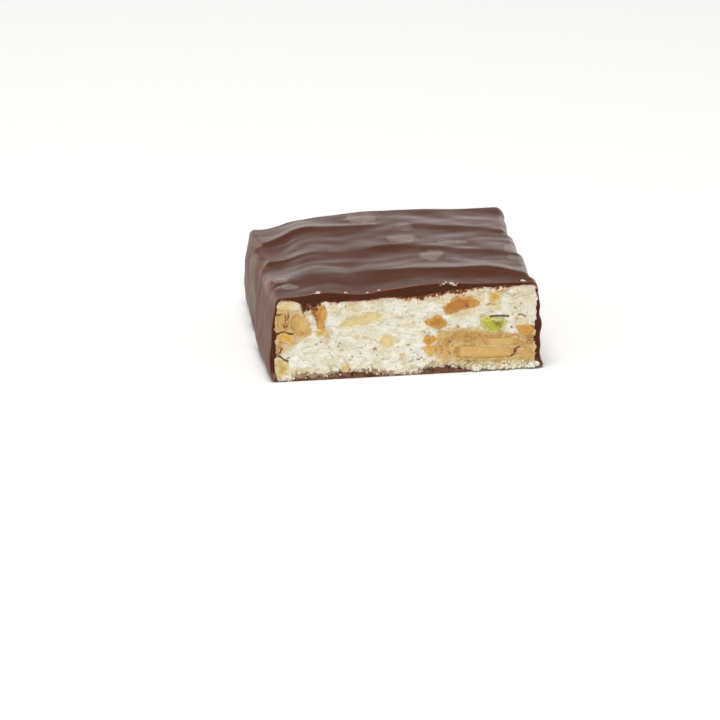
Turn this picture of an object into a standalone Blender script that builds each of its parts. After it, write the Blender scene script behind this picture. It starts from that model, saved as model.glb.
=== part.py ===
"""Half of a chocolate-coated nougat bar with almonds and a pistachio, cut straight across.

The clean cut faces -Y and the coated end of the bar faces +Y. The bar rests on its flat
bottom at z = 0, and the origin is the middle of that bottom. Sizes are in millimetres
here, and meshes are scaled to metres as they are made.
"""

import math
from bisect import bisect_right
from typing import NamedTuple

import bmesh
import bpy
from mathutils import Vector

MILLIMETRE = 0.001

# The bar
BAR_WIDTH = 48.0  # along X
BAR_LENGTH = 40.0  # along Y, from the cut to the coated end
BAR_HEIGHT = 16.5  # along Z, nominal
CUT_Y = -BAR_LENGTH / 2
END_Y = BAR_LENGTH / 2
HALF_WIDTH = BAR_WIDTH / 2
SHOULDER_RADIUS = 2.2
FOOT_RADIUS = 0.7
END_RADIUS = 1.6

# Height of the top across the bar, as (x, z), at the cut and at the coated end
TOP_AT_CUT = (
    (-24.0, 15.9),
    (-19.0, 16.15),
    (-15.5, 16.55),
    (-8.0, 15.95),
    (-3.0, 16.55),
    (5.5, 17.25),
    (12.0, 16.9),
    (24.0, 16.6),
)
TOP_AT_END = (
    (-24.0, 14.4),
    (-20.0, 14.6),
    (-17.0, 15.6),
    (-13.0, 16.3),
    (-7.0, 17.1),
    (3.0, 17.4),
    (12.0, 17.2),
    (24.0, 16.6),
)

# The waves that the running chocolate left: where each crest lies at evenly spaced
# places across the bar from -X to +X, from the coated end to the cut
WAVE_CRESTS = (
    (22.0, 26.5, 27.0, 27.0, 25.5, 22.5, 20.0),
    (7.5, 15.0, 14.0, 14.2, 12.8, 10.0, 6.7),
    (-2.4, -0.1, -0.2, 2.3, 0.8, -2.4, -3.8),
    (-12.6, -10.6, -11.0, -10.4, -11.2, -12.0, -15.4),
    (-23.5, -22.5, -22.5, -22.5, -22.8, -23.3, -25.5),
)
WAVE_TROUGH = 0.38  # share of the way from one crest to the next one towards the cut
WAVE_DEPTH_MIDDLE = 0.55
WAVE_DEPTH_SIDE = 0.85
SCALLOP_DEPTH = 0.45  # of the same waves where they run over the sides

# How far the sides stand out beyond HALF_WIDTH, as (z, distance)
SIDE_LEFT = ((0.0, 0.1), (1.6, 0.4), (3.8, 0.75), (7.5, 0.4), (11.0, 0.2), (14.0, -0.3), (16.5, -0.4))
SIDE_RIGHT = ((0.0, 0.8), (0.7, 0.9), (2.2, 0.3), (9.0, 0.25), (10.5, 0.0), (14.0, -0.35), (16.5, -0.4))

# The chocolate coat
COAT_SIDE = 0.95
COAT_BOTTOM = 0.65
COAT_END = 1.4
COAT_TOP = 1.9  # away from the cut
COAT_TOP_AT_CUT = (
    (-24.0, 0.7),
    (-21.5, 0.8),
    (-18.5, 2.1),
    (-16.0, 2.6),
    (-13.0, 2.1),
    (-9.0, 1.45),
    (-4.5, 1.45),
    (1.0, 2.4),
    (5.0, 2.15),
    (9.5, 1.4),
    (13.0, 1.0),
    (24.0, 0.7),
)
COAT_TOP_EASE = 4.0  # length over which the coat goes from one to the other
CLEARANCE = 0.3  # between one solid and the next

# Steps of the meshes
TOP_STEPS = 18
SIDE_STEPS = 3
BOTTOM_STEPS = 6
SHOULDER_STEPS = 4
FOOT_STEPS = 2
COAT_STATIONS = 19
END_STEPS = 3
FILLING_STATIONS = (0.0, 2.0, 4.0, 12.0, 20.0, 29.0)  # behind the cut
NUT_SIDES = 18
NUT_RINGS = 4


class Nut(NamedTuple):
    """A nut piece that the cut goes through; x and z are its middle on the cut."""

    name: str
    kind: str
    x: float
    z: float
    half_length: float
    half_thickness: float
    depth: float
    tilt: float = 0.0  # degrees, rising towards +X
    squareness: float = 2.0  # 2 is an ellipse, more is boxier


NUTS = (
    Nut("almond_corner_rough", "almond", -22.15, 10.9, 0.9, 2.05, 1.6, 0, 3.2),
    Nut("almond_corner_smooth", "almond", -18.95, 10.85, 1.8, 2.2, 3.5, 0, 2.3),
    Nut("almond_side_chip", "almond", -21.4, 7.5, 1.55, 0.8, 2.2, -18),
    Nut("almond_side_crumb", "almond", -22.5, 5.7, 0.5, 0.7, 1.2),
    Nut("almond_foot_pale", "pale_almond", -21.9, 2.7, 1.05, 1.3, 2.4, 0, 2.6),
    Nut("almond_skin_upright", "toasted_almond", -15.4, 11.4, 0.9, 2.0, 2.6, 4, 2.6),
    Nut("almond_sliver_pale", "pale_almond", -8.1, 11.1, 3.6, 1.0, 2.8, 9),
    Nut("almond_dot_pale", "pale_almond", -3.65, 6.7, 1.0, 1.1, 1.5),
    Nut("almond_shard_toasted", "toasted_almond", 9.5, 12.6, 3.2, 1.05, 3.0, 19, 2.3),
    Nut("almond_knob_toasted", "toasted_almond", 5.3, 9.8, 1.55, 1.15, 2.4, 0, 2.3),
    Nut("almond_chip_high", "pale_almond", 15.85, 13.6, 1.0, 1.3, 1.6, 0, 2.3),
    Nut("pistachio", "pistachio", 15.8, 9.1, 2.15, 1.15, 2.2, 4, 2.6),
    Nut("almond_crumb_right", "toasted_almond", 21.4, 7.6, 0.95, 0.65, 1.2),
    Nut("almond_whole_upper", "almond", 15.5, 6.1, 5.5, 1.1, 4.5, -3, 2.8),
    Nut("almond_whole_lower", "almond", 14.3, 3.5, 5.3, 1.1, 4.5, -1, 3.4),
    Nut("almond_broken_left", "almond", 7.2, 5.5, 1.5, 1.9, 2.6, 0, 2.4),
    Nut("almond_broken_right", "almond", 21.6, 3.3, 1.25, 1.35, 2.0, 0, 2.8),
    Nut("almond_crumb_upper", "toasted_almond", 4.2, 6.65, 0.9, 0.7, 1.3),
    Nut("almond_crumb_lower", "almond", 4.2, 4.6, 0.8, 0.85, 1.3),
    Nut("almond_crumb_foot", "almond", -11.0, 2.3, 0.9, 0.65, 1.2),
)


class Finish(NamedTuple):
    """What a material looks like: an sRGB colour and a roughness."""

    colour: str
    roughness: float


FINISHES = {
    "chocolate": Finish("5B3D33", 0.35),
    "nougat": Finish("EFE6D2", 0.8),
    "almond": Finish("DDB46A", 0.6),
    "pale_almond": Finish("EAD7A0", 0.65),
    "toasted_almond": Finish("CC8C45", 0.55),
    "pistachio": Finish("B9C24A", 0.6),
}


# Curves and waves


def ease(share):
    """Go smoothly from 0 to 1 as share goes from 0 to 1, and stay level beyond."""
    share = min(max(share, 0.0), 1.0)
    return share * share * (3.0 - 2.0 * share)


def read_curve(points, place):
    """Read the smooth curve through (place, value) points, level beyond its ends."""
    if place <= points[0][0]:
        return points[0][1]
    if place >= points[-1][0]:
        return points[-1][1]
    after = bisect_right(points, (place, math.inf))
    before = after - 1

    def slope(index):
        low = points[max(index - 1, 0)]
        high = points[min(index + 1, len(points) - 1)]
        return (high[1] - low[1]) / (high[0] - low[0])

    (start, from_value), (stop, to_value) = points[before], points[after]
    span = stop - start
    t = (place - start) / span
    return (
        from_value * (1 + 2 * t) * (1 - t) ** 2
        + slope(before) * span * t * (1 - t) ** 2
        + to_value * t * t * (3 - 2 * t)
        - slope(after) * span * t * t * (1 - t)
    )


def crest_line(crest):
    """Give a crest's places across the bar as (x, y) points."""
    step = BAR_WIDTH / (len(crest) - 1)
    return tuple((step * place - HALF_WIDTH, y) for place, y in enumerate(crest))


CREST_LINES = tuple(crest_line(crest) for crest in WAVE_CRESTS)


def trough(x, y):
    """Say how deep (x, y) lies in a wave: 0 on a crest and 1 at the bottom."""
    crests = [read_curve(line, x) for line in CREST_LINES]
    behind, before = next(
        pair for pair in zip(crests, crests[1:]) if y >= pair[1] or pair[1] == crests[-1]
    )
    share = (behind - y) / (behind - before)
    if share < WAVE_TROUGH:
        return ease(share / WAVE_TROUGH)
    return 1.0 - ease((share - WAVE_TROUGH) / (1.0 - WAVE_TROUGH))


def wave_drop(x, y):
    """Depth of the waves at (x, y), which are deeper towards the sides."""
    toward_side = (x / HALF_WIDTH) ** 2
    depth = WAVE_DEPTH_MIDDLE + (WAVE_DEPTH_SIDE - WAVE_DEPTH_MIDDLE) * toward_side
    return depth * trough(x, y)


# Surfaces of the bar


def calm_top(x, y):
    """Height of the top at (x, y) if the chocolate had no waves."""
    share = (y - CUT_Y) / BAR_LENGTH
    return read_curve(TOP_AT_CUT, x) * (1 - share) + read_curve(TOP_AT_END, x) * share


def coat_top(x, y):
    """Height of the coat's outer surface at (x, y)."""
    share = (y - CUT_Y) / BAR_LENGTH
    level = wave_drop(x, CUT_Y) * (1 - share) + wave_drop(x, END_Y) * share
    return calm_top(x, y) + level - wave_drop(x, y)


def filling_top(x, y):
    """Height at (x, y) where the coat ends and the nougat begins."""
    inside = ease((y - CUT_Y) / COAT_TOP_EASE)
    coat = read_curve(COAT_TOP_AT_CUT, x) * (1 - inside) + COAT_TOP * inside
    return calm_top(x, y) - coat


def side_push(x, y, z):
    """How far a side stands out at (x, y, z), fading to nothing in mid-width."""
    belly = read_curve(SIDE_RIGHT if x > 0 else SIDE_LEFT, z)
    side_x = math.copysign(HALF_WIDTH, x)
    scallop = SCALLOP_DEPTH * (0.5 - trough(side_x, y)) * ease((z - 4.0) / 8.0)
    return math.copysign((belly + scallop) * abs(x / HALF_WIDTH) ** 3, x)


def arc(centre_x, centre_z, radius, start, steps):
    """Points on a quarter circle, anticlockwise from the angle start, without its ends."""
    angles = [start + 90.0 * step / steps for step in range(1, steps)]
    return [
        (
            centre_x + radius * math.cos(math.radians(angle)),
            centre_z + radius * math.sin(math.radians(angle)),
        )
        for angle in angles
    ]


def line(start, stop, steps):
    """Points that divide a straight line into steps, with both ends."""
    return [
        tuple(a + (b - a) * step / steps for a, b in zip(start, stop))
        for step in range(steps + 1)
    ]


def outline(margin, bottom, top, shoulder, foot):
    """Outline of the plain bar, margin inside its sides, as (x, z) points."""
    half = HALF_WIDTH - margin
    shoulder_z = top - shoulder
    foot_z = bottom + foot
    return (
        line((-half + foot, bottom), (half - foot, bottom), BOTTOM_STEPS)
        + arc(half - foot, foot_z, foot, -90, FOOT_STEPS)
        + line((half, foot_z), (half, shoulder_z), SIDE_STEPS)
        + arc(half - shoulder, shoulder_z, shoulder, 0, SHOULDER_STEPS)
        + line((half - shoulder, top), (-half + shoulder, top), TOP_STEPS)
        + arc(-half + shoulder, shoulder_z, shoulder, 90, SHOULDER_STEPS)
        + line((-half, shoulder_z), (-half, foot_z), SIDE_STEPS)
        + arc(-half + foot, foot_z, foot, 180, FOOT_STEPS)
    )


def section(y, margin, bottom, top_at, drop=0.0, shoulder=SHOULDER_RADIUS, foot=FOOT_RADIUS):
    """One cross-section of the bar at y, under the surface top_at, lowered by drop."""
    loop = []
    for x, z in outline(margin, bottom, BAR_HEIGHT, shoulder, foot):
        level = (z - bottom) / (BAR_HEIGHT - bottom)
        z = bottom + level * (top_at(x, y) - drop - bottom)
        loop.append(Vector((x + side_push(x, y, z), y, z)))
    return loop


# Meshes


def add_loops(mesh, loops):
    """Add rings of points to a bmesh and join each ring to the next, and return them."""
    rings = [[mesh.verts.new(point * MILLIMETRE) for point in loop] for loop in loops]
    for ring, following in zip(rings, rings[1:]):
        join_rings(mesh, ring, following)
    return rings


def join_rings(mesh, ring, following):
    """Join two rings with as many points by a band of four-sided faces."""
    for place in range(len(ring)):
        after = (place + 1) % len(ring)
        mesh.faces.new((ring[place], ring[after], following[after], following[place]))


def add_object(name, mesh, finish):
    """Turn a closed bmesh into an object with its material, smooth but for its edges."""
    bmesh.ops.recalc_face_normals(mesh, faces=mesh.faces)
    data = bpy.data.meshes.new(name)
    mesh.to_mesh(data)
    mesh.free()
    data.shade_smooth()
    data.set_sharp_from_angle(angle=math.radians(50))
    data.materials.append(material(finish))
    built = bpy.data.objects.new(name, data)
    bpy.context.scene.collection.objects.link(built)
    return built


def linear(hex_colour):
    """Turn an sRGB hex colour into the linear RGBA that shaders take."""
    channels = [int(hex_colour[place : place + 2], 16) / 255 for place in (0, 2, 4)]
    return tuple(c / 12.92 if c <= 0.04045 else ((c + 0.055) / 1.055) ** 2.4 for c in channels) + (1.0,)


def material(finish):
    """Give the named finish's material, made when it is first asked for."""
    if finish in bpy.data.materials:
        return bpy.data.materials[finish]
    made = bpy.data.materials.new(finish)
    made.use_nodes = True
    shader = made.node_tree.nodes["Principled BSDF"]
    shader.inputs["Base Color"].default_value = linear(FINISHES[finish].colour)
    shader.inputs["Roughness"].default_value = FINISHES[finish].roughness
    shader.inputs["Metallic"].default_value = 0.0
    return made


# Sub-parts


def build_coat():
    """The chocolate coat: a shell that the cut leaves open towards -Y."""
    straight = BAR_LENGTH - END_RADIUS
    outside = [
        section(CUT_Y + straight * station / COAT_STATIONS, 0.0, 0.0, coat_top)
        for station in range(COAT_STATIONS + 1)
    ]
    for step in range(1, END_STEPS + 1):
        angle = math.radians(90 * step / END_STEPS)
        inset = END_RADIUS * (1 - math.cos(angle))
        y = END_Y - END_RADIUS * (1 - math.sin(angle))
        outside.append(section(y, inset, inset, coat_top, drop=inset))
    inside = filling_sections(-CLEARANCE / 2)

    mesh = bmesh.new()
    outer_rings = add_loops(mesh, outside)
    inner_rings = add_loops(mesh, inside)
    join_rings(mesh, outer_rings[0], inner_rings[0])
    mesh.faces.new(outer_rings[-1])
    mesh.faces.new(inner_rings[-1])
    return add_object("chocolate_coat", mesh, "chocolate")


def filling_sections(margin):
    """Sections of the room inside the coat, margin inside it all round."""
    stations = [CUT_Y + behind for behind in FILLING_STATIONS]
    stations.append(END_Y - COAT_END - margin)
    return [
        section(
            y,
            COAT_SIDE + margin,
            COAT_BOTTOM + margin,
            filling_top,
            drop=margin,
            shoulder=SHOULDER_RADIUS - COAT_SIDE,
            foot=FOOT_RADIUS / 2,
        )
        for y in stations
    ]


def build_nougat():
    """The nougat that fills the coat, with a pocket in the cut for each nut."""
    mesh = bmesh.new()
    rings = add_loops(mesh, filling_sections(CLEARANCE / 2))
    mesh.faces.new(rings[0])
    mesh.faces.new(rings[-1])
    nougat = add_object("nougat", mesh, "nougat")
    for nut in NUTS:
        pocket = build_nut(nut, nut.name + "_pocket", grow=CLEARANCE)
        pocket.hide_render = True
        pocket.display_type = "WIRE"
        cut = nougat.modifiers.new(nut.name, "BOOLEAN")
        cut.operation = "DIFFERENCE"
        cut.solver = "EXACT"
        cut.object = pocket
    return nougat


def nut_loop(nut, y, size, grow):
    """Ring of points round a nut at y, at a share size of its width, uneven as nuts are."""
    tilt = math.radians(nut.tilt)
    power = 2.0 / nut.squareness
    unevenness = nut.x + 2.0 * nut.z
    loop = []
    for side in range(NUT_SIDES):
        angle = 2 * math.pi * side / NUT_SIDES
        ripple = 1.0 + 0.05 * math.sin(3 * angle + unevenness) * size
        across = math.copysign(abs(math.cos(angle)) ** power, math.cos(angle))
        up = math.copysign(abs(math.sin(angle)) ** power, math.sin(angle))
        across *= (nut.half_length * ripple + grow) * size
        up *= (nut.half_thickness * ripple + grow) * size
        x = nut.x + across * math.cos(tilt) - up * math.sin(tilt)
        z = nut.z + across * math.sin(tilt) + up * math.cos(tilt)
        loop.append(Vector((x, y, z)))
    return loop


def build_nut(nut, name, grow=0.0):
    """A nut cut flush with the bar, or its pocket, which is larger and starts in front."""
    loops = [nut_loop(nut, CUT_Y, 1.0, grow)]
    if grow:
        loops.insert(0, nut_loop(nut, CUT_Y - 1.0, 1.0, grow))
    for ring in range(1, NUT_RINGS):
        angle = math.radians(90 * ring / NUT_RINGS)
        y = CUT_Y + (nut.depth + grow) * math.sin(angle)
        loops.append(nut_loop(nut, y, math.cos(angle), grow))
    mesh = bmesh.new()
    rings = add_loops(mesh, loops)
    mesh.faces.new(rings[0])
    tip = mesh.verts.new(Vector((nut.x, CUT_Y + nut.depth + grow, nut.z)) * MILLIMETRE)
    for place, corner in enumerate(rings[-1]):
        mesh.faces.new((corner, rings[-1][(place + 1) % NUT_SIDES], tip))
    return add_object(name, mesh, nut.kind)


def main():
    """Clear the scene and build the bar."""
    for leftover in list(bpy.data.objects):
        bpy.data.objects.remove(leftover, do_unlink=True)
    build_coat()
    build_nougat()
    for nut in NUTS:
        build_nut(nut, nut.name)


main()
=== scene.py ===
"""Looks of a cut piece of chocolate-coated nougat bar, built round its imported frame.

The coat is a poured milk chocolate shell with running waves, the filling is aerated nougat
whose cut is torn and pitted, and the almonds and the pistachio lie in the cut as the knife
left them. Lengths are in millimetres until a mesh is made, which turns them to metres.
"""

import logging
import math
import random
from dataclasses import dataclass, field
from enum import Enum
from typing import ClassVar, Sequence

import bpy
import numpy as np
from mathutils import Euler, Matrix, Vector, noise


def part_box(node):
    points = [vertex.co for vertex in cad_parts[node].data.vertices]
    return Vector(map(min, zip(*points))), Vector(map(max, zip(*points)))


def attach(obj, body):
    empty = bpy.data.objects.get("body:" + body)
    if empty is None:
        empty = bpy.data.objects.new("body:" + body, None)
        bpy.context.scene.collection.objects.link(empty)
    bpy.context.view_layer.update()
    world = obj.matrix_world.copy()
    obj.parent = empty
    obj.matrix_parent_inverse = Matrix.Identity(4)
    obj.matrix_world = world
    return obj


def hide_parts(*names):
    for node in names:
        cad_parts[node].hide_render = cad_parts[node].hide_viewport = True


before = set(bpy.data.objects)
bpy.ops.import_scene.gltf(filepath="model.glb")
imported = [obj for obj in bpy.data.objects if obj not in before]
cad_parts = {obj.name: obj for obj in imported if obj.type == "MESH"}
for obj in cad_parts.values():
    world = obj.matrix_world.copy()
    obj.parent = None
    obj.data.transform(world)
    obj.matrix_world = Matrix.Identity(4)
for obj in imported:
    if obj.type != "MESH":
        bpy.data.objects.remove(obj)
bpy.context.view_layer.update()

LOG = logging.getLogger("nougat_bar")
MILLIMETRE = 0.001
Curve = Sequence[tuple[float, float]]
Array = np.ndarray
Size = tuple[float, float, float]  # how long noise's lumps are across, along and up
Zone = tuple[float, float]  # where something begins and where it is full
Tree = bpy.types.NodeTree
Socket = bpy.types.NodeSocket
Layers = Sequence[tuple[Socket, str]]
# Turns the noise's lattice askew, so that it never lines up with the bar
ASKEW = np.array(Euler((0.7, 0.5, 0.4)).to_matrix())


# Curves, fields and meshes


def ease(share: Array) -> Array:
    """Go smoothly from 0 to 1 as share does, and stay level beyond.

    Args:
        share: Any numbers.

    Returns:
        Numbers from 0 to 1.
    """
    share = np.clip(share, 0.0, 1.0)
    return share * share * (3.0 - 2.0 * share)


def between(start: float, stop: float, value: Array) -> Array:
    """Go smoothly from 0 at start to 1 at stop, whichever is the larger."""
    return ease((value - start) / (stop - start))


def read_curve(points: Curve, places: Array) -> Array:
    """Read the smooth curve through (place, value) points, level beyond its ends.

    Args:
        points: The curve's points, in rising order of place.
        places: Where to read it.

    Returns:
        The curve's values there.
    """
    at, value = np.array(points, float).T
    slope = np.gradient(value, at)
    places = np.clip(places, at[0], at[-1])
    after = np.clip(np.searchsorted(at, places, side="right"), 1, len(at) - 1)
    before = after - 1
    span = at[after] - at[before]
    t = (places - at[before]) / span
    return (
        value[before] * (1 + 2 * t) * (1 - t) ** 2
        + slope[before] * span * t * (1 - t) ** 2
        + value[after] * t * t * (3 - 2 * t)
        - slope[after] * span * t * t * (1 - t)
    )


def rows(*columns: Array | float) -> Array:
    """Put columns side by side; a single number fills its column."""
    return np.stack(np.broadcast_arrays(*columns), axis=1)


def closed_curve(points: Curve, count: int) -> Array:
    """Read a smooth closed outline through its corner points.

    Args:
        points: The (x, z) points that the outline passes through.
        count: How many points to return, evenly spread over the given ones.

    Returns:
        An array of count (x, z) rows.
    """
    knots = np.array(points, float)
    where = np.arange(count) * len(knots) / count
    index = where.astype(int)
    t = (where - index)[:, None]
    p0, p1, p2, p3 = (knots[(index + step) % len(knots)] for step in (-1, 0, 1, 2))
    return 0.5 * (
        2 * p1
        + (p2 - p0) * t
        + (2 * p0 - 5 * p1 + 4 * p2 - p3) * t**2
        + (3 * p1 - p0 - 3 * p2 + p3) * t**3
    )


@dataclass(frozen=True)
class Grain:
    """Fractal noise: its strength, how long its lumps are, which one and how many layers."""

    strength: float
    size: Size
    seed: int
    octaves: int = 3
    apart: ClassVar[float] = 17.3  # how far apart in the noise two seeds lie

    def at(self, points: Array, later: int = 0) -> Array:
        """Read the noise at points.

        Args:
            points: Rows of (x, y, z).
            later: What to add to the seed.

        Returns:
            One value for each point, mostly between -strength and strength.
        """
        shifted = points / np.array(self.size) @ ASKEW + self.apart * (self.seed + later)
        values = [noise.fractal(Vector(p), 1.0, 2.0, self.octaves) for p in shifted.tolist()]
        return self.strength * np.array(values)


def line_distance(points: Array, line: Curve) -> Array:
    """Distance from each (x, z) point to a line of straight stretches.

    Args:
        points: Rows of (x, z).
        line: The line's corners.

    Returns:
        One distance for each point.
    """
    corners = np.array(line, float)
    nearest = np.full(len(points), np.inf)
    for start, stop in zip(corners, corners[1:]):
        along = stop - start
        share = np.clip((points - start) @ along / (along @ along), 0.0, 1.0)
        gap = points - start - share[:, None] * along
        nearest = np.minimum(nearest, np.hypot(gap[:, 0], gap[:, 1]))
    return nearest


def outline_distance(points: Array, outline: Array) -> Array:
    """Distance from each (x, z) point to a closed outline, negative inside it.

    Args:
        points: Rows of (x, z).
        outline: Rows of (x, z) round the outline.

    Returns:
        One signed distance for each point.
    """
    distance = line_distance(points, np.vstack([outline, outline[:1]]))
    inside = np.zeros(len(points), bool)
    for (x0, z0), (x1, z1) in zip(outline, np.roll(outline, -1, axis=0)):
        if z0 == z1:
            continue
        crosses = (points[:, 1] < z0) != (points[:, 1] < z1)
        inside ^= crosses & (points[:, 0] < x0 + (x1 - x0) * (points[:, 1] - z0) / (z1 - z0))
    return np.where(inside, -distance, distance)


def grid_faces(rows: int, columns: int, closed: bool) -> list[tuple[int, ...]]:
    """Four-sided faces over a grid of points numbered row by row.

    Args:
        rows: Number of rows of points.
        columns: Number of points in a row.
        closed: Whether each row's last point joins its first.

    Returns:
        The faces' corner numbers.
    """
    first = np.arange(rows - 1)[:, None] * columns
    left = np.arange(columns if closed else columns - 1)[None, :]
    right = (left + 1) % columns
    corners = np.stack(
        [first + left, first + right, first + columns + right, first + columns + left], axis=-1
    )
    return [tuple(face) for face in corners.reshape(-1, 4).tolist()]


def make_piece(
    name: str, points: Array, faces: Sequence[Sequence[int]], marks: dict[str, Array],
    material: bpy.types.Material,
) -> bpy.types.Object:
    """Turn points in millimetres into a smooth-shaded piece in metres.

    Args:
        name: The piece's name.
        points: Rows of (x, y, z).
        faces: Corner numbers of each face.
        marks: Named values, one for each point, that the material reads.
        material: The piece's finish.

    Returns:
        The new object, at the origin.
    """
    mesh = bpy.data.meshes.new(name)
    mesh.from_pydata((points * MILLIMETRE).tolist(), [], faces)
    for mark, values in marks.items():
        layer = mesh.attributes.new(mark, "FLOAT", "POINT")
        layer.data.foreach_set("value", np.ascontiguousarray(values, np.float32))
    mesh.shade_smooth()
    mesh.materials.append(material)
    piece = bpy.data.objects.new(name, mesh)
    bpy.context.scene.collection.objects.link(piece)
    return piece


def tube_of_rings(rings: Sequence[Array]) -> tuple[Array, list[tuple[int, ...]]]:
    """Join rings of points into one closed skin, with a pole at each end.

    Args:
        rings: Arrays of (x, y, z) rows, all of one length, from one pole to the other.

    Returns:
        All points, with the two poles last, and the faces.
    """
    count = len(rings[0])
    points = np.vstack([*rings, rings[0].mean(axis=0), rings[-1].mean(axis=0)])
    faces = grid_faces(len(rings), count, closed=True)
    start, stop, last = count * len(rings), count * len(rings) + 1, count * (len(rings) - 1)
    for place in range(count):
        after = (place + 1) % count
        faces.append((after, place, start))
        faces.append((last + place, last + after, stop))
    return points, faces


# The shape that the coat and the filling share


@dataclass(frozen=True)
class BarShape:
    """Surfaces of the bar, in millimetres, between the cut and the coated end."""

    cut_y: float
    end_y: float
    half_width: float
    height: float = 16.5
    top_at_cut: Curve = (
        (-24.0, 15.9), (-19.0, 16.15), (-15.5, 16.55), (-8.0, 15.95), (-3.0, 16.55), (5.5, 17.25),
        (12.0, 16.9), (24.0, 16.6),
    )
    top_at_end: Curve = (
        (-24.0, 15.1), (-21.0, 15.0), (-18.6, 15.5), (-16.5, 16.2), (-13.0, 16.8), (-7.0, 17.4),
        (3.0, 17.7), (12.0, 17.55), (24.0, 17.35),
    )
    # Where each wave's crest lies at even steps across the bar, coated end first
    crests: Sequence[Sequence[float]] = (
        (24.7, 25.9, 24.0, 23.3, 22.2, 20.4, 19.0), (9.2, 12.0, 11.4, 10.9, 9.6, 7.9, 5.4),
        (-1.4, -0.7, -1.2, -0.4, -2.2, -4.4, -5.4), (-11.9, -11.2, -11.1, -12.5, -14.0, -14.0, -17.3),
        (-27.5, -27.5, -27.5, -27.0, -25.5, -26.0, -27.5),
    )
    # How deep the trough in front of each crest is at the same places
    troughs: Sequence[Sequence[float]] = (
        (0.3, 0.5, 0.5, 0.4, 0.3, 0.25, 0.25, 0.2, 0.25, 0.25, 0.3, 0.3, 0.3),
        (0.55, 0.9, 0.42, 0.04, 0.05, 0.18, 0.05, 0.07, 0.24, 0.3, 0.2, 0.2, 0.24),
        (0.3, 0.5, 0.24, 0.16, 0.18, 0.4, 0.45, 0.3, 0.22, 0.22, 0.24, 0.26, 0.3),
        (0.2, 0.32, 0.6, 0.6, 0.48, 0.66, 0.62, 0.4, 0.7, 0.84, 0.86, 0.74, 0.45),
    )
    # How long each of those waves falls before it rises again, in five places across
    falls: Sequence[Sequence[float]] = (
        (3.5, 4.0, 4.0, 4.0, 4.0), (6.0, 5.4, 3.2, 3.4, 3.4), (3.0, 3.0, 3.2, 3.6, 3.2),
        (9.0, 9.0, 5.5, 5.4, 5.2),
    )
    side_room: float = 0.82  # how far the sides' folds stand out past half_width
    fall_wander: Grain = Grain(0.35, (7.0, 9.0, 1.0), 4, 2)  # of the falls' lengths
    rise_power: float = 1.9  # over 1 each wave rises most steeply just behind its crest
    crest_rounding: float = 0.2
    top_settle: float = 4.0  # how far behind the cut the knife stopped pressing the top
    side_settle: float = 5.0
    side_zone: Zone = (19.0, 22.5)  # where the sides' folds begin to count
    side_left: Curve = (
        (0.0, 0.0), (0.8, 0.3), (3.8, 0.75), (7.5, 0.45), (11.0, 0.25), (14.0, -0.3), (16.5, -0.4)
    )
    side_right: Curve = (
        (0.0, 0.45), (0.5, 0.7), (1.6, 0.25), (3.0, -0.05), (4.5, 0.0), (6.5, -0.15), (8.2, 0.15),
        (9.2, 0.05), (10.2, -0.3), (12.0, -0.25), (13.5, -0.5), (15.0, -0.7), (16.5, -0.75),
    )
    coat_left: Curve = ((0.0, 0.9), (3.8, 1.2), (9.0, 0.85), (12.0, 0.6), (14.0, 0.5), (16.5, 0.5))
    coat_right: Curve = ((0.0, 1.2), (3.0, 1.0), (9.0, 1.15), (11.0, 0.85), (14.0, 0.5), (16.5, 0.5))
    coat_top_at_cut: Curve = (
        (-24.0, 0.5), (-21.5, 0.7), (-20.0, 1.05), (-18.6, 1.8), (-16.4, 1.95), (-15.2, 1.9),
        (-13.0, 1.85), (-9.5, 1.4), (-4.5, 1.45), (1.0, 2.3), (5.0, 2.15), (9.5, 1.4), (13.0, 0.95),
        (18.0, 0.75), (24.0, 0.55),
    )
    coat_top_inside: float = 1.7
    lump: float = 0.35  # of the lumps between the folds of the sides
    lumps: Grain = Grain(1.0, (9.0, 4.5, 7.0), 9, 2)
    lobe: float = 0.8  # how far the waves stand out where they run down the sides
    lobe_height: Zone = (-9.0, 8.0)
    right_lobes: float = 0.6  # how far they do so on the right, as a share of the left
    fold_wander: float = 2.0  # how far the folds of the sides stray from upright
    folds: Grain = Grain(1.0, (40.0, 12.0, 7.0), 8, 2)
    flare: float = 0.9  # how far the right shoulder widens towards the coated end
    flare_along: Zone = (4.0, 19.0)
    flare_height: Zone = (6.0, 15.0)
    # Height of the narrow lip on the second, third and fourth crest at the same places
    lips: Sequence[Sequence[float]] = (
        (0.1, 0.3, 0.12, 0.0, 0.0, 0.03, 0.03), (0.26, 0.06, 0.0, 0.02, 0.04, 0.02, 0.02),
        (0.0, 0.0, 0.02, 0.04, 0.18, 0.22, 0.08),
    )
    lip_width: float = 1.9
    lip_front: float = 4.0  # how much more steeply a lip falls in front
    swell: Grain = Grain(0.16, (7.5, 4.5, 40.0), 6, 2)  # the broad unevenness of the top
    uneven: Grain = Grain(1.1, (5.0, 7.0, 1.0), 2, 2)  # how the crests' sharpness wanders
    side_crests_left: Sequence[float] = (24.7, 9.3, -1.4, -26.0)
    side_crests_right: Sequence[float] = (25.0, 5.4, -5.4, -17.3, -27.0)

    @classmethod
    def from_frame(cls) -> "BarShape":
        """Take the bar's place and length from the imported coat."""
        low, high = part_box("chocolate_coat")
        return cls(
            cut_y=low.y / MILLIMETRE, end_y=high.y / MILLIMETRE,
            half_width=(high.x - low.x) / MILLIMETRE / 2 - cls.side_room,
        )

    def across(self, values: Sequence[float], x: Array) -> Array:
        """Read values given at even steps across the bar."""
        places = np.linspace(-self.half_width, self.half_width, len(values))
        return read_curve(tuple(zip(places, values)), x)

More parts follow.
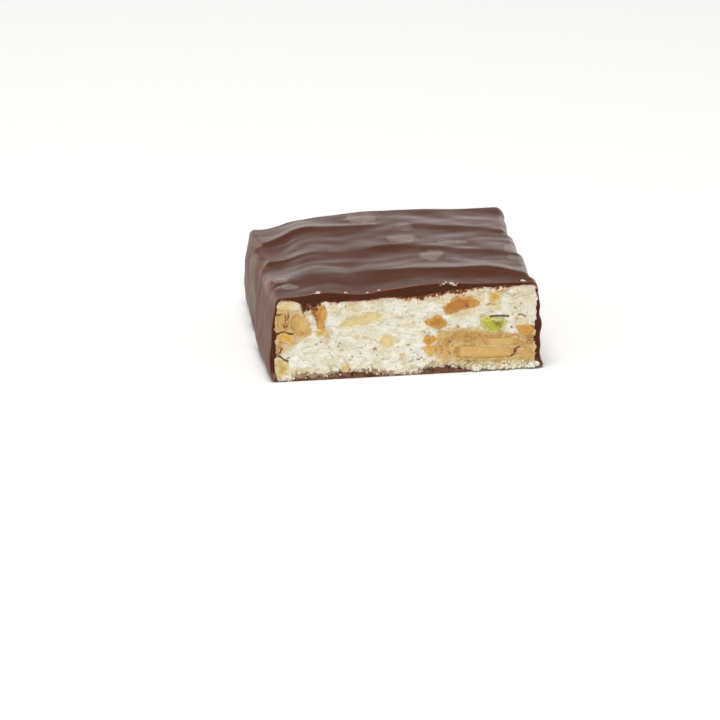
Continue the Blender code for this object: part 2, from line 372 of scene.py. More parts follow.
    def wave_hollow(self, x: Array, y: Array) -> tuple[Array, Array]:
        """Say where points lie in the waves.

        Args:
            x: Places across the bar.
            y: Places along it.

        Returns:
            How low in its wave's trough each point lies, from 0 to 1, and the depth of the
            trough there.
        """
        hollow = np.zeros_like(x)
        depth = np.zeros_like(x)
        lines = [self.across(crest, x) for crest in self.crests]
        wander = np.exp(self.fall_wander.at(rows(x, y, 0.0)))
        for behind, ahead, trough, fall in zip(lines, lines[1:], self.troughs, self.falls):
            here = (y <= behind) & (y > ahead)
            length = self.across(fall, x) * wander
            down = 1 - (1 - np.clip((behind - y) / length, 0, 1)) ** 2
            up = np.clip((behind - y - length) / (behind - ahead - length), 0, 1) ** self.rise_power
            hollow = np.where(here, down - up, hollow)
            depth = np.where(here, self.across(trough, x), depth)
        return hollow, depth

    def wave_drop(self, x: Array, y: Array) -> Array:
        """Depth below the crests: each wave falls off steeply and rises slowly to the next.

        Args:
            x: Places across the bar.
            y: Places along it.

        Returns:
            One depth for each place, less the height of the lips on the crests.
        """
        hollow, depth = self.wave_hollow(x, y)
        blunt = self.crest_rounding * np.exp(self.uneven.at(rows(x, y, 0.0)))
        rounded = (np.sqrt(hollow**2 + blunt**2) - blunt) * (1 + 0.6 * blunt)
        drop = depth * rounded
        for crest, lip in zip(self.crests[1:], self.lips):
            behind = (y - self.across(crest, x)) / self.lip_width
            steep = np.where(behind > 0, 1.0, self.lip_front)
            drop -= self.across(lip, x) * np.exp(-(behind**2) * steep)
        return drop

    def share(self, y: Array) -> Array:
        """How far along the bar y is, from 0 at the cut to 1 at the end."""
        return (y - self.cut_y) / (self.end_y - self.cut_y)

    def settled(self, y: Array) -> Array:
        """How far the top is as it was poured, from 0 at the cut to 1."""
        return between(0.0, self.top_settle, y - self.cut_y)

    def beside(self, x: Array) -> Array:
        """How far x belongs to a side, from 0 to 1."""
        return between(*self.side_zone, np.abs(x))

    def calm_top(self, x: Array, y: Array) -> Array:
        """Height of the top without its waves."""
        share = self.share(y)
        return read_curve(self.top_at_cut, x) * (1 - share) + read_curve(self.top_at_end, x) * share

    def coat_top(self, x: Array, y: Array) -> Array:
        """Height of the coat's outer surface.

        Args:
            x: Places across the bar.
            y: Places along it.

        Returns:
            One height for each place.
        """
        share = self.share(y)
        at_cut = self.wave_drop(x, np.full_like(x, self.cut_y))
        at_end = self.wave_drop(x, np.full_like(x, self.end_y))
        return self.calm_top(x, y) + at_cut * (1 - share) + at_end * share - self.wave_drop(x, y)

    def filling_top(self, x: Array, y: Array) -> Array:
        """Height where the coat ends and the nougat begins.

        Args:
            x: Places across the bar.
            y: Places along it.

        Returns:
            One height for each place.
        """
        inside = self.settled(y)
        coat = read_curve(self.coat_top_at_cut, x) * (1 - inside) + self.coat_top_inside * inside
        return self.calm_top(x, y) - coat

    def side_push(self, x: Array, y: Array, z: Array) -> Array:
        """How far the coat's sides stand out.

        Args:
            x: Places across the bar.
            y: Places along it.
            z: Heights.

        Returns:
            What to add to x, which fades out in mid-width.
        """
        left = x < 0
        belly = np.where(left, read_curve(self.side_left, z), read_curve(self.side_right, z))
        spot = rows(10 * np.sign(x), y, z)
        settled = between(0.0, self.side_settle, y - self.cut_y)
        y = y + self.fold_wander * settled * self.folds.at(spot)
        share = np.zeros_like(x)
        for on_side, crests in ((left, self.side_crests_left), (~left, self.side_crests_right)):
            for behind, ahead in zip(crests, crests[1:]):
                here = on_side & (y <= behind) & (y > ahead)
                share = np.where(here, (behind - y) / (behind - ahead), share)
        step = between(0.0, 0.1, share) * (1 - share**1.3)
        strength = np.where(left, 1.0, self.right_lobes)
        lobe = self.lobe * (1.6 * step - 0.8) * between(*self.lobe_height, z) * strength
        flare = self.flare * between(*self.flare_along, y) * between(*self.flare_height, z)
        lobe += np.where(left, 0.0, flare)
        settled = between(0.0, self.side_settle, y - self.cut_y)
        lobe += self.lump * settled * self.lumps.at(spot)
        return np.sign(x) * (belly + lobe) * np.abs(x / self.half_width) ** 3

    def coat_side(self, x: Array, z: Array) -> Array:
        """Thickness of the coat on the side that x is on."""
        return np.where(x < 0, read_curve(self.coat_left, z), read_curve(self.coat_right, z))


@dataclass
class SectionLoop:
    """The plain rounded outline of the bar, whose points every cross-section moves."""

    half_width: float
    height: float
    bottom_count: int = 96
    side_count: int = 44
    top_count: int = 176
    shoulder_count: int = 16
    foot_count: int = 5

    def points(self, left: float, right: float, foot: float) -> Array:
        """Lay the outline's points, anticlockwise as seen from the cut.

        Args:
            left: Radius of the left shoulder.
            right: Radius of the right shoulder.
            foot: Radius of both lower edges.

        Returns:
            Rows of (x, z), the same number for any radii.
        """
        half, height = self.half_width, self.height
        bottom = np.linspace(-half + foot, half - foot, self.bottom_count, endpoint=False)
        top = np.linspace(half - right, left - half, self.top_count, endpoint=False)
        rise = np.linspace(foot, height - right, self.side_count, endpoint=False)
        fall = np.linspace(height - left, foot, self.side_count, endpoint=False)
        return np.vstack(
            [
                rows(bottom, 0.0), self.arc(half - foot, foot, foot, -90.0, self.foot_count),
                rows(half, rise),
                self.arc(half - right, height - right, right, 0.0, self.shoulder_count),
                rows(top, height),
                self.arc(left - half, height - left, left, 90.0, self.shoulder_count),
                rows(-half, fall), self.arc(foot - half, foot, foot, 180.0, self.foot_count),
            ]
        )

    def arc(self, x: float, z: float, radius: float, start: float, count: int) -> Array:
        """Points on a quarter circle round (x, z), anticlockwise from the angle start."""
        angles = np.radians(np.linspace(start, start + 90.0, count, endpoint=False))
        return rows(x + radius * np.cos(angles), z + radius * np.sin(angles))


# Finishes


def linear(colour: str) -> tuple[float, float, float, float]:
    """Turn an sRGB hex colour into the linear one that shaders take.

    Args:
        colour: The colour, as in "#FFFFFF".

    Returns:
        Red, green, blue and 1.
    """
    channels = [int(colour[place : place + 2], 16) / 255 for place in (1, 3, 5)]
    red, green, blue = (
        c / 12.92 if c <= 0.04045 else ((c + 0.055) / 1.055) ** 2.4 for c in channels
    )
    return red, green, blue, 1.0


def add_node(
    tree: Tree, kind: str, inputs: dict[int | str, object] | None = None, **settings: object,
) -> bpy.types.Node:
    """Add a node to a tree.

    Args:
        tree: The node tree.
        kind: The node's type.
        inputs: What goes into its inputs: a socket to link, or a plain value.
        **settings: The node's own settings.

    Returns:
        The new node.
    """
    node = tree.nodes.new(kind)
    for name, value in settings.items():
        setattr(node, name, value)
    for place, value in (inputs or {}).items():
        if isinstance(value, Socket):
            tree.links.new(value, node.inputs[place])
        else:
            node.inputs[place].default_value = value
    return node


def new_material(name: str) -> tuple[bpy.types.Material, Tree, bpy.types.Node]:
    """Start a material with nothing but its output.

    Args:
        name: The material's name.

    Returns:
        The material, its node tree and its output node.
    """
    material = bpy.data.materials.new(name)
    material.use_nodes = True
    tree = material.node_tree
    tree.nodes.clear()
    return material, tree, tree.nodes.new("ShaderNodeOutputMaterial")


MIX_FACTOR, MIX_FIRST, MIX_SECOND, MIX_RESULT = 0, 6, 7, 2  # a colour Mix node's sockets


@dataclass(frozen=True)
class Finish:
    """A food of two tones that noise mixes, with stains and painted light and shade where the marks on
    its mesh say so.

    Each finish gives its noises as (size of a lump, detail), with the one that its bump
    follows last, and the marks that it reads.
    """

    name: str
    first: str
    second: str
    noises: ClassVar[Sequence[tuple[float, float]]]
    marks: ClassVar[Sequence[str]]
    bump_strength: ClassVar[float]
    bump_depth: ClassVar[float]
    roughness: ClassVar[float]
    ior: ClassVar[float]

    def layers(self, tree: Tree, noises: Sequence[Socket], marks: dict[str, Socket]) -> Layers:
        """Say how far each colour covers those under it, with the second tone first.

        Args:
            tree: The node tree.
            noises: The outputs of the finish's noises.
            marks: The outputs of the finish's marks.

        Returns:
            Each colour's share and the colour.
        """
        raise NotImplementedError

    def extras(self, tree: Tree, marks: dict[str, Socket]) -> dict[str, object]:
        """Give the shader's inputs that only this finish sets."""
        return {}

    def make(self) -> bpy.types.Material:
        """Build the node material.

        Returns:
            The material.
        """
        material, tree, output = new_material(self.name)
        place = add_node(tree, "ShaderNodeTexCoord").outputs["Object"]
        noises = [
            add_node(
                tree, "ShaderNodeTexNoise",
                {"Vector": place, "Scale": 1 / (size * MILLIMETRE), "Detail": detail},
            ).outputs["Fac"]
            for size, detail in self.noises
        ]
        marks = {
            mark: add_node(tree, "ShaderNodeAttribute", attribute_name=mark).outputs["Fac"]
            for mark in self.marks
        }
        colour = linear(self.first)
        for share, over in self.layers(tree, noises, marks):
            colour = add_node(
                tree, "ShaderNodeMix", {MIX_FACTOR: share, MIX_FIRST: colour, MIX_SECOND: linear(over)},
                data_type="RGBA",
            ).outputs[MIX_RESULT]
        depth = self.bump_depth * MILLIMETRE
        bump = add_node(
            tree, "ShaderNodeBump",
            {"Strength": self.bump_strength, "Distance": depth, "Height": noises[-1]},
        ).outputs["Normal"]
        inputs = {"Base Color": colour, "Roughness": self.roughness, "IOR": self.ior, "Normal": bump}
        inputs |= self.extras(tree, marks)
        shader = add_node(tree, "ShaderNodeBsdfPrincipled", inputs)
        tree.links.new(shader.outputs[0], output.inputs[0])
        return material


@dataclass(frozen=True)
class SatinChocolate(Finish):
    """Milk chocolate, poured and cooled: a satin skin with pale bloom where it set slowly."""

    name: str = "milk_chocolate_poured_satin"
    first: str = "#4A281B"
    second: str = "#573326"
    painted_side_light: str = "#6E4435"  # painted side light: the sides are painted a lighter brown for how they catch the light
    # The bloom's colour, also laid as the painted sheen in the haze on the sides
    bloom: str = "#84766A"
    edge: str = "#7E4A33"
    gleam: str = "#FFEADB"
    side_roughness: float = 0.6
    bloom_raggedness: float = 0.3
    # Faint clouds in the colour, the ragged edge of a bloom patch, and a fine grain
    noises = ((6.0, 3.0), (1.3, 4.0), (0.35, 2.0))
    marks = ("side", "haze_and_sheen", "bloom", "edge")
    bump_strength = 0.12
    bump_depth = 0.02
    roughness = 0.27
    ior = 1.46

    def layers(self, tree: Tree, noises: Sequence[Socket], marks: dict[str, Socket]) -> Layers:
        """Cloud the brown, paint the sides lighter as painted side light, haze them with bloom and
        painted sheen, and lay the bloom and the worn edges with their painted glints.

        Args:
            tree: The node tree.
            noises: The outputs of the finish's noises.
            marks: The outputs of the finish's marks.

        Returns:
            Each colour's share and the colour.
        """
        ragged = add_node(
            tree, "ShaderNodeMath", {0: noises[1], 1: self.bloom_raggedness, 2: marks["bloom"]},
            operation="MULTIPLY_ADD",
        ).outputs[0]
        patch = add_node(
            tree, "ShaderNodeMapRange",
            {"Value": ragged, "From Min": 0.4, "From Max": 0.9, "To Max": 0.85},
            interpolation_type="SMOOTHSTEP",
        ).outputs[0]
        # Painted side light: the sides are painted a lighter brown
        painted_side_light = add_node(
            tree, "ShaderNodeMath", {0: marks["side"], 1: 0.6}, operation="MULTIPLY"
        ).outputs[0]
        # The haze on the sides is pale bloom with painted sheen streaks
        return (
            (noises[0], self.second), (painted_side_light, self.painted_side_light), (marks["haze_and_sheen"], self.bloom),
            (patch, self.bloom), (marks["edge"], self.edge),
        )

    def extras(self, tree: Tree, marks: dict[str, Socket]) -> dict[str, object]:
        """Make the sides duller than the top, and warm the gleam."""
        gloss = add_node(
            tree, "ShaderNodeMapRange",
            {"Value": marks["side"], "To Min": self.roughness, "To Max": self.side_roughness},
        ).outputs[0]
        return {"Roughness": gloss, "Specular Tint": linear(self.gleam)}


@dataclass(frozen=True)
class CutChocolate(Finish):
    """Milk chocolate where the knife broke it: matt, warm and a little grainy."""

    name: str = "milk_chocolate_knife_cut"
    first: str = "#482315"
    second: str = "#552C1E"
    scuffed: str = "#86644F"  # where crumbs of filling are rubbed into the bottom
    sheen: float = 0.1
    noises = ((0.4, 4.0),)
    marks = ("scuff",)
    bump_strength = 0.15
    bump_depth = 0.03
    roughness = 0.5
    ior = 1.46

    def layers(self, tree: Tree, noises: Sequence[Socket], marks: dict[str, Socket]) -> Layers:
        """Streak the brown and rub crumbs into it.

        Args:
            tree: The node tree.
            noises: The outputs of the finish's noises.
            marks: The outputs of the finish's marks.

        Returns:
            Each colour's share and the colour.
        """
        streak = add_node(
            tree, "ShaderNodeMapRange", {"Value": noises[0], "From Min": 0.35, "From Max": 0.7}
        ).outputs[0]
        return (streak, self.second), (marks["scuff"], self.scuffed)

    def extras(self, tree: Tree, marks: dict[str, Socket]) -> dict[str, object]:
        """Take most of the sheen away."""
        return {"Specular IOR Level": self.sheen}


@dataclass(frozen=True)
class SoftFinish(Finish):
    """A finish into which light sinks a little way."""

    scatter: ClassVar[float] = 0.15
    scatter_radius: ClassVar[Sequence[float]]
    scatter_size: ClassVar[float]

    def extras(self, tree: Tree, marks: dict[str, Socket]) -> dict[str, object]:
        """Let the light sink in."""
        return {
            "Subsurface Weight": self.scatter, "Subsurface Radius": self.scatter_radius,
            "Subsurface Scale": self.scatter_size * MILLIMETRE,
        }


@dataclass(frozen=True)
class AeratedNougat(SoftFinish):
    """Whipped egg-white nougat: chalk-white, matt and slightly see-through, its pores and cracks
    darkened with painted shade.
    """

    name: str = "nougat_whipped_torn"
    first: str = "#ECE8DB"
    second: str = "#D9CDAC"
    # What each mark lays over the nougat: stains, and painted shade in the pores and cracks
    overlays = {
        "cream": "#DCC788", "nut_stain": "#D3B273", "fringe": "#C9883A", "foot": "#7A5234",
        "smear": "#6A321A", "pore": "#94754A", "crack": "#5E2C08",
    }
    marks = tuple(overlays)
    noises = ((1.9, 5.0), (0.4, 4.0))  # clouds and crumbs
    crumb_share: float = 0.45
    bump_strength = 0.4
    bump_depth = 0.07
    roughness = 0.7
    ior = 1.45
    scatter_radius = (1.0, 0.75, 0.45)
    scatter_size = 0.4

    def layers(self, tree: Tree, noises: Sequence[Socket], marks: dict[str, Socket]) -> Layers:
        """Mottle the white in clouds and crumbs, and lay over it the stains and the painted shade of the
        pores and cracks.

        Args:
            tree: The node tree.
            noises: The outputs of the finish's noises.
            marks: The outputs of the finish's marks.

        Returns:
            Each colour's share and the colour.
        """
        mixed = add_node(
            tree, "ShaderNodeMath", {0: noises[1], 1: self.crumb_share, 2: noises[0]},
            operation="MULTIPLY_ADD",
        ).outputs[0]
        mottled = add_node(
            tree, "ShaderNodeMapRange", {"Value": mixed, "From Min": 0.62, "From Max": 1.0}
        ).outputs[0]
        return (mottled, self.second), *((marks[mark], over) for mark, over in self.overlays.items())


@dataclass(frozen=True)
class NutFlesh(SoftFinish):
    """Sliced nut: smooth oily flesh, lighter and darker by tone, with painted shade in its cracks."""

    # The colour of the painted shade in the cracks
    crack: str
    skin: str
    dust: str
    toast: str = "#DAA643"
    unevenness: float = 0.5
    noises = ((0.7, 4.0), (0.18, 3.0))  # grain and fibres
    marks = ("tone", "toast", "dust", "skin", "crack")
    bump_strength = 0.3
    bump_depth = 0.03
    roughness = 0.48
    ior = 1.47
    scatter_radius = (1.0, 0.6, 0.25)
    scatter_size = 0.5

    def layers(self, tree: Tree, noises: Sequence[Socket], marks: dict[str, Socket]) -> Layers:
        """Darken the flesh by its tone, and lay toast, dust, skin and the painted shade of the cracks
        over it.

        Args:
            tree: The node tree.
            noises: The outputs of the finish's noises.
            marks: The outputs of the finish's marks.

        Returns:
            Each colour's share and the colour.
        """
        uneven = add_node(
            tree, "ShaderNodeMath", {0: noises[0], 1: self.unevenness, 2: marks["tone"]},
            operation="MULTIPLY_ADD",
        ).outputs[0]
        darker = add_node(
            tree, "ShaderNodeMapRange", {"Value": uneven, "From Min": -0.35, "From Max": 0.85}
        ).outputs[0]
        over = (self.toast, self.dust, self.skin, self.crack)
        return (darker, self.second), *zip((marks[mark] for mark in self.marks[1:]), over)


class NutKind(Enum):
    """The kinds of flesh that a nut can have."""

    ALMOND = "almond"
    PALE = "pale_almond"
    TOASTED = "toasted_almond"
    PISTACHIO = "pistachio"


NUT_FINISHES = {
    NutKind.ALMOND: NutFlesh(
        "almond_roasted_sliced", "#DBB46B", "#B4853F", "#6A3208", "#8A5226", "#DAC08A"
    ),
    NutKind.PALE: NutFlesh(
        "almond_blanched_sliced", "#E8D194", "#C29A50", "#7A5A34", "#A87840", "#E0CC94"
    ),
    NutKind.TOASTED: NutFlesh(
        "almond_dark_roasted_sliced", "#DB9C42", "#A45E1C", "#5A2C12", "#8A4018", "#D0A058"
    ),
    NutKind.PISTACHIO: NutFlesh(
        "pistachio_green_sliced", "#C9C63E", "#98910C", "#4A4418", "#6A5A3A", "#D6D28C"
    ),
}


# Marks on the surfaces


@dataclass(frozen=True)
class Spot:
    """A soft oval mark: its middle and half sizes, across and then up or along, and strength."""

    x: float
    v: float
    half_x: float
    half_v: float
    strength: float = 1.0

    def away(self, x: Array, v: Array) -> Array:
        """How far points are from the spot's middle, where 1 is its edge."""
        return np.hypot((x - self.x) / self.half_x, (v - self.v) / self.half_v)


def strongest(
    spots: Sequence[Spot], x: Array, v: Array, wobble: Array, fade: tuple[float, float]
) -> Array:
    """Read the strongest of some spots at each point.

    Args:
        spots: The spots.
        x: Places across.
        v: Places up or along.
        wobble: What makes the spots' edges uneven.
        fade: Distances at which a spot begins and is full, where 1 is its edge.

    Returns:
        One value for each point.
    """
    mark = np.zeros(len(x))
    for spot in spots:
        mark = np.maximum(mark, spot.strength * between(*fade, spot.away(x, v) + wobble))
    return mark


@dataclass(frozen=True)
class Crack:
    """A crack in a nut or between nuts, a groove darkened with painted shade: its (x, z) corners, half
    width and depth.
    """

    line: Curve
    half_width: float = 0.1
    depth: float = 0.5
    reach: ClassVar[float] = 0.8  # points beyond this from the line aren't looked at
    straying: ClassVar[Grain] = Grain(0.09, (0.7, 1.0, 0.7), 58, 2)
    width_change: ClassVar[Grain] = Grain(0.05, (0.6, 1.0, 0.6), 57, 2)

    def distance(self, points: Array) -> Array:
        """Distance from each (x, z) point to the line, which wavers and varies in width.

        Args:
            points: Rows of (x, z).

        Returns:
            One distance for each point.
        """
        low, high = np.min(self.line, axis=0) - self.reach, np.max(self.line, axis=0) + self.reach
        near = np.flatnonzero(np.all((points > low) & (points < high), axis=1))
        distance = np.full(len(points), 10 * self.reach)
        if len(near):
            x, z = points[near].T
            spot = rows(x, 5.0, z)
            astray = points[near] + rows(self.straying.at(spot), self.straying.at(spot, 1))
            distance[near] = line_distance(astray, self.line) + self.width_change.at(spot)
        return distance

    def opening(self, points: Array, beyond: float, core: float) -> Array:
        """How open the crack is at points, from 0 at its edge to 1.

        Args:
            points: Rows of (x, z).
            beyond: How far past its half width it ends.
            core: The share of its half width that is fully open.

        Returns:
            One value for each point.
        """
        return between(self.half_width + beyond, self.half_width * core, self.distance(points))


# The coat


@dataclass
class ChocolateCoat:
    """The chocolate shell, open at the cut, with the waves that it set in."""

    shape: BarShape
    finish: SatinChocolate
    cut_finish: CutChocolate
    shoulder_left: float = 1.3
    shoulder_left_end: float = 1.2
    shoulder_right: float = 1.5
    shoulder_change: float = 30.0  # length over which the left shoulder changes
    foot: float = 0.7
    end_radius: float = 1.3
    end_rings: int = 8
    cap_rings: int = 26
    cap_bulge: float = 0.35
    # The streaks where chocolate ran down the coated end, and how it sagged there
    run: Grain = Grain(0.2, (2.4, 9.0, 12.0), 21)
    sag: Grain = Grain(0.3, (8.0, 9.0, 7.0), 22, 2)
    row_step: float = 0.33
    chip_depth: float = 0.9  # of the strip that broke off the bottom
    chip_change: float = 0.35
    chip_low: Zone = (1.4, 0.2)
    chip_left: Zone = (11.0, 13.0)
    chip_right: Zone = (24.2, 23.0)
    nick: float = 0.05
    nicks: Grain = Grain(1.0, (0.9, 0.9, 1.0), 3, 2)
    arris: float = 0.13
    arris_rings: int = 4
    rim_rings: int = 7
    rim_rough: Grain = Grain(0.012, (0.5, 1.0, 0.5), 31)
    rim_slope: float = 0.16  # how far the coat's cut leans back where the filling begins
    inner_rows: Sequence[float] = (0.35, 1.2, 3.0, 6.0, 12.0, 20.0, 29.0)
    inner_margin: float = 0.95
    inner_shoulder: float = 0.9
    inner_foot: float = 0.3
    end_thickness: float = 1.5
    ripple: Grain = Grain(0.02, (14.0, 2.3, 40.0), 5, 2)
    rib: Grain = Grain(0.07, (40.0, 2.6, 9.0), 7, 2)
    ragged: float = 0.17
    tear: Grain = Grain(1.0, (0.6, 1.0, 0.6), 11)
    foot_tear: float = 2.4  # how much more the lower edge is torn than the upper one
    foot_tear_end: float = 12.0
    drip_length: float = 0.85  # of the drips beside the upright nut
    drip_change: Grain = Grain(1.8, (0.42, 1.0, 6.0), 13)
    drip_left: Zone = (-19.0, -18.3)
    drip_right: Zone = (-14.9, -15.5)
    bottom_at_cut: Curve = (
        (-24.0, 0.15), (-21.0, 0.25), (-20.0, 0.65), (-15.5, 0.75), (-13.0, 1.05), (-6.0, 0.95),
        (-4.0, 0.55), (2.5, 0.5), (3.8, 1.15), (9.0, 1.2), (11.5, 0.7), (12.5, 0.35), (24.0, 0.3),
    )
    bottom_inside: float = 0.75
    bottom_zone: Zone = (0.3, 3.0)  # how far behind the cut the bottom is as it was poured
    rest_gap: float = 0.03  # least height of the torn lower edge over the table
    bloom_patches: Sequence[Spot] = (
        Spot(-2.9, 15.5, 3.4, 3.6), Spot(2.5, 2.5, 2.6, 2.4), Spot(3.9, 9.0, 1.7, 2.6, 0.8),
        Spot(6.75, -6.5, 2.2, 2.8), Spot(11.4, -0.2, 2.8, 1.0), Spot(21.7, -4.2, 1.5, 2.6, 0.9),
        Spot(21.4, -8.4, 1.4, 2.0, 0.9), Spot(-21.6, -11.6, 1.8, 1.6), Spot(-20.4, -15.2, 1.9, 1.5),
    )
    # Where the coat on the left shoulder looks coppery: thin chocolate, with painted glints where it
    # catches the light
    thin_spots_and_painted_glints: Sequence[tuple[float, float, float]] = ((-23.1, 8.8, 15.3), (-23.5, -2.0, 15.5))
    # A leaf-shaped dent pressed into the top
    dent: Curve = ((-22.9, -14.8), (-21.9, -13.65), (-20.8, -13.3))
    dent_depth: float = 0.16
    dent_edge: Zone = (0.5, 0.05)
    bloom_strength: float = 0.6
    bloom_height: Zone = (13.0, 15.0)
    bloom_width: Zone = (24.2, 22.8)
    bloom_warp: Grain = Grain(0.4, (2.4, 1.8, 8.0), 43)
    # The haze on the sides: pale bloom, and painted sheen in its upright streaks
    haze_and_sheen: float = 0.52
    most_haze_and_sheen: float = 0.75
    haze_and_sheen_height: Zone = (15.4, 13.4)
    haze_and_sheen_along: Zone = (-3.0, 7.0)  # it thickens towards the coated end
    blotches: Grain = Grain(0.65, (7.0, 5.0, 6.0), 41, 2)
    sheen_streaks: Grain = Grain(0.45, (2.5, 2.0, 6.0), 42, 2)
    most_worn: float = 0.5  # of the edges, where the coat is thinnest
    wear: Grain = Grain(0.7, (3.0, 2.2, 3.0), 44)
    wear_across: Zone = (-21.9, -23.4)
    wear_height: Zone = (13.0, 14.6)
    flank_left: Zone = (16.2, 13.2)
    flank_right: Zone = (15.8, 10.5)
    scuff_height: Zone = (2.2, 1.2)
    rub: Grain = Grain(0.9, (0.7, 1.0, 0.5), 45)
    loop: SectionLoop = field(init=False)
    front_ring: int = field(init=False, default=0)  # the last ring of the outside
    rim_end: int = field(init=False, default=0)  # the last ring of the cut

    def __post_init__(self) -> None:
        """Lay out the plain outline that the cross-sections move."""
        self.loop = SectionLoop(self.shape.half_width, self.shape.height)

    def coat_bottom(self, x: Array, y: Array) -> Array:
        """Thickness of the chocolate under the filling."""
        inside = between(*self.bottom_zone, y - self.shape.cut_y)
        return read_curve(self.bottom_at_cut, x) * (1 - inside) + self.bottom_inside * inside

    def chipping(self, x: Array, z: Array) -> Array:
        """How far behind the cut the coat broke off: a strip of the bottom, and nicks.

        Args:
            x: Places across the bar.
            z: Heights.

        Returns:
            One distance for each place.
        """
        low = between(*self.chip_low, z)
        strip = between(*self.chip_left, x) * between(*self.chip_right, x)
        nicks = self.nicks.at(rows(x, z, 0.0))
        return low * strip * (self.chip_depth + self.chip_change * nicks) + self.nick * nicks

    def outer(self, base: Array, y: Array, inset: float) -> Array:
        """Move outline points to the coat's outer surface.

        Args:
            base: Rows of (x, z) on the plain outline.
            y: Each point's place along the bar.
            inset: How far inside the surface the points lie, as at the rounded end.

        Returns:
            Rows of (x, y, z).
        """
        shape = self.shape
        x, level = base[:, 0], base[:, 1] / shape.height
        flat = rows(x, y, 0.0)
        swell = shape.swell.at(flat) * shape.settled(y)
        top = shape.coat_top(x, y) + self.ripple.at(flat) + swell - inset
        top = top - self.dent_depth * between(*self.dent_edge, line_distance(flat[:, :2], self.dent))
        z = inset + level * (top - inset)
        spread = rows(x, y, z)
        rib = self.rib.at(spread)
        x = x + shape.side_push(x, y, z) + np.sign(x) * rib * np.abs(x / shape.half_width) ** 6
        return rows(x, y, z)

    def inner(self, y: Array, at_cut: bool) -> Array:
        """Points where the coat meets the filling.

        Args:
            y: Each point's place along the bar.
            at_cut: Whether the line is roughened as the knife left it.

        Returns:
            Rows of (x, y, z).
        """
        shape = self.shape
        room = SectionLoop(shape.half_width - self.inner_margin, shape.height)
        base = room.points(self.inner_shoulder, self.inner_shoulder, self.inner_foot)
        x, level = base[:, 0], base[:, 1] / shape.height
        top = shape.filling_top(x, y)
        bottom = self.coat_bottom(x, y)
        z = bottom + level * (top - bottom)
        x = x + np.sign(x) * shape.beside(x) * (self.inner_margin - shape.coat_side(x, z))
        x = x + shape.side_push(x, y, z)
        points = rows(x, y, z)
        if at_cut:
            drips = between(*self.drip_left, x) * between(*self.drip_right, x) * (z > 8)
            hanging = np.clip(0.2 + self.drip_change.at(points), 0, 1.1)
            tear = self.tear.at(points) * (self.ragged + 0.1 * drips)
            torn_foot = self.foot_tear * tear * (x < self.foot_tear_end)
            points[:, 2] += np.where(level > 0.5, tear, torn_foot) * (level != 0.5)
            points[:, 2] -= self.drip_length * drips * hanging
            points[:, 0] += 0.3 * self.ragged * self.tear.at(points, 1)
            points[:, 2] = np.maximum(points[:, 2], self.rest_gap)
        return points

    def outline_at(self, y: float, inset: float) -> Array:
        """Lay the plain outline that the outside has at y.

        Args:
            y: The place along the bar.
            inset: How far it is drawn in, as at the rounded end.

        Returns:
            Rows of (x, z).
        """
        share = float(ease(np.array((y - self.shape.cut_y) / self.shoulder_change)))
        left = self.shoulder_left + (self.shoulder_left_end - self.shoulder_left) * share
        points = self.loop.points(left, self.shoulder_right, self.foot)
        points[:, 0] *= 1 - inset / self.shape.half_width
        return points

    def rings(self) -> list[Array]:
        """Lay every ring of the shell, from the back's middle round the rim and inside.

        Returns:
            The rings, as rows of (x, y, z).
        """
        shape, loop = self.shape, self.loop
        ones = np.ones(len(loop.points(1.0, 1.0, self.foot)))
        rings: list[Array] = []
        end, radius = shape.end_y, self.end_radius
        edge = self.outer(self.outline_at(end, radius), end * ones, radius)
        middle = np.array([0.0, shape.end_y, shape.height / 2])
        for step in range(self.cap_rings):
            size = (step + 1) / (self.cap_rings + 1)
            ring = middle + (edge - middle) * size
            swell = self.cap_bulge * (1 - size**4)
            flow = self.run.at(ring) + self.sag.at(ring)
            ring[:, 1] = shape.end_y + (swell + flow * (1 - size**6)) - self.cap_bulge
            rings.append(ring)
        for step in range(self.end_rings):
            angle = math.radians(90 * (1 - step / self.end_rings))
            inset = self.end_radius * (1 - math.cos(angle))
            y = shape.end_y - self.cap_bulge - self.end_radius * (1 - math.sin(angle))
            rings.append(self.outer(self.outline_at(y, inset), y * ones, inset))
        start = shape.end_y - self.cap_bulge - self.end_radius
        steps = int((start - shape.cut_y - self.arris) / self.row_step)
        front = loop.points(self.shoulder_left, self.shoulder_right, self.foot)
        chip = self.chipping(front[:, 0], front[:, 1])
        for y in np.linspace(start, shape.cut_y + self.arris, steps):
            near = float(between(3.0, 0.0, np.array(y - shape.cut_y)))
            rings.append(self.outer(self.outline_at(y, 0.0), y * ones + chip * near, 0.0))
        self.front_ring = len(rings) - 1
        outside = self.outer(front, shape.cut_y + chip, 0.0)
        inside = self.inner(shape.cut_y + 0.0 * ones, at_cut=True)
        inward = inside - outside
        width = np.hypot(inward[:, 0], inward[:, 2])[:, None]
        for step in range(1, self.arris_rings + 1):
            angle = math.radians(90 * step / self.arris_rings)
            ring = outside + inward / width * self.arris * (1 - math.cos(angle))
            ring[:, 1] = shape.cut_y + chip + self.arris * (1 - math.sin(angle))
            rings.append(ring)
        arris_share = self.arris / width
        for step in range(1, self.rim_rings + 1):
            share = step / self.rim_rings
            ring = outside + inward * (arris_share + (1 - arris_share) * share)
            slope = self.rim_slope * share**6
            ring[:, 1] = shape.cut_y + chip + self.rim_rough.at(ring) + slope
            rings.append(ring)
        self.rim_end = len(rings) - 1
        for behind in self.inner_rows:
            y = shape.cut_y + behind
            rings.append(self.inner(y * ones + chip * max(0.0, 1 - behind / 3), at_cut=False))
        rings.append(self.inner((shape.end_y - self.end_thickness) * ones, at_cut=False))
        return rings

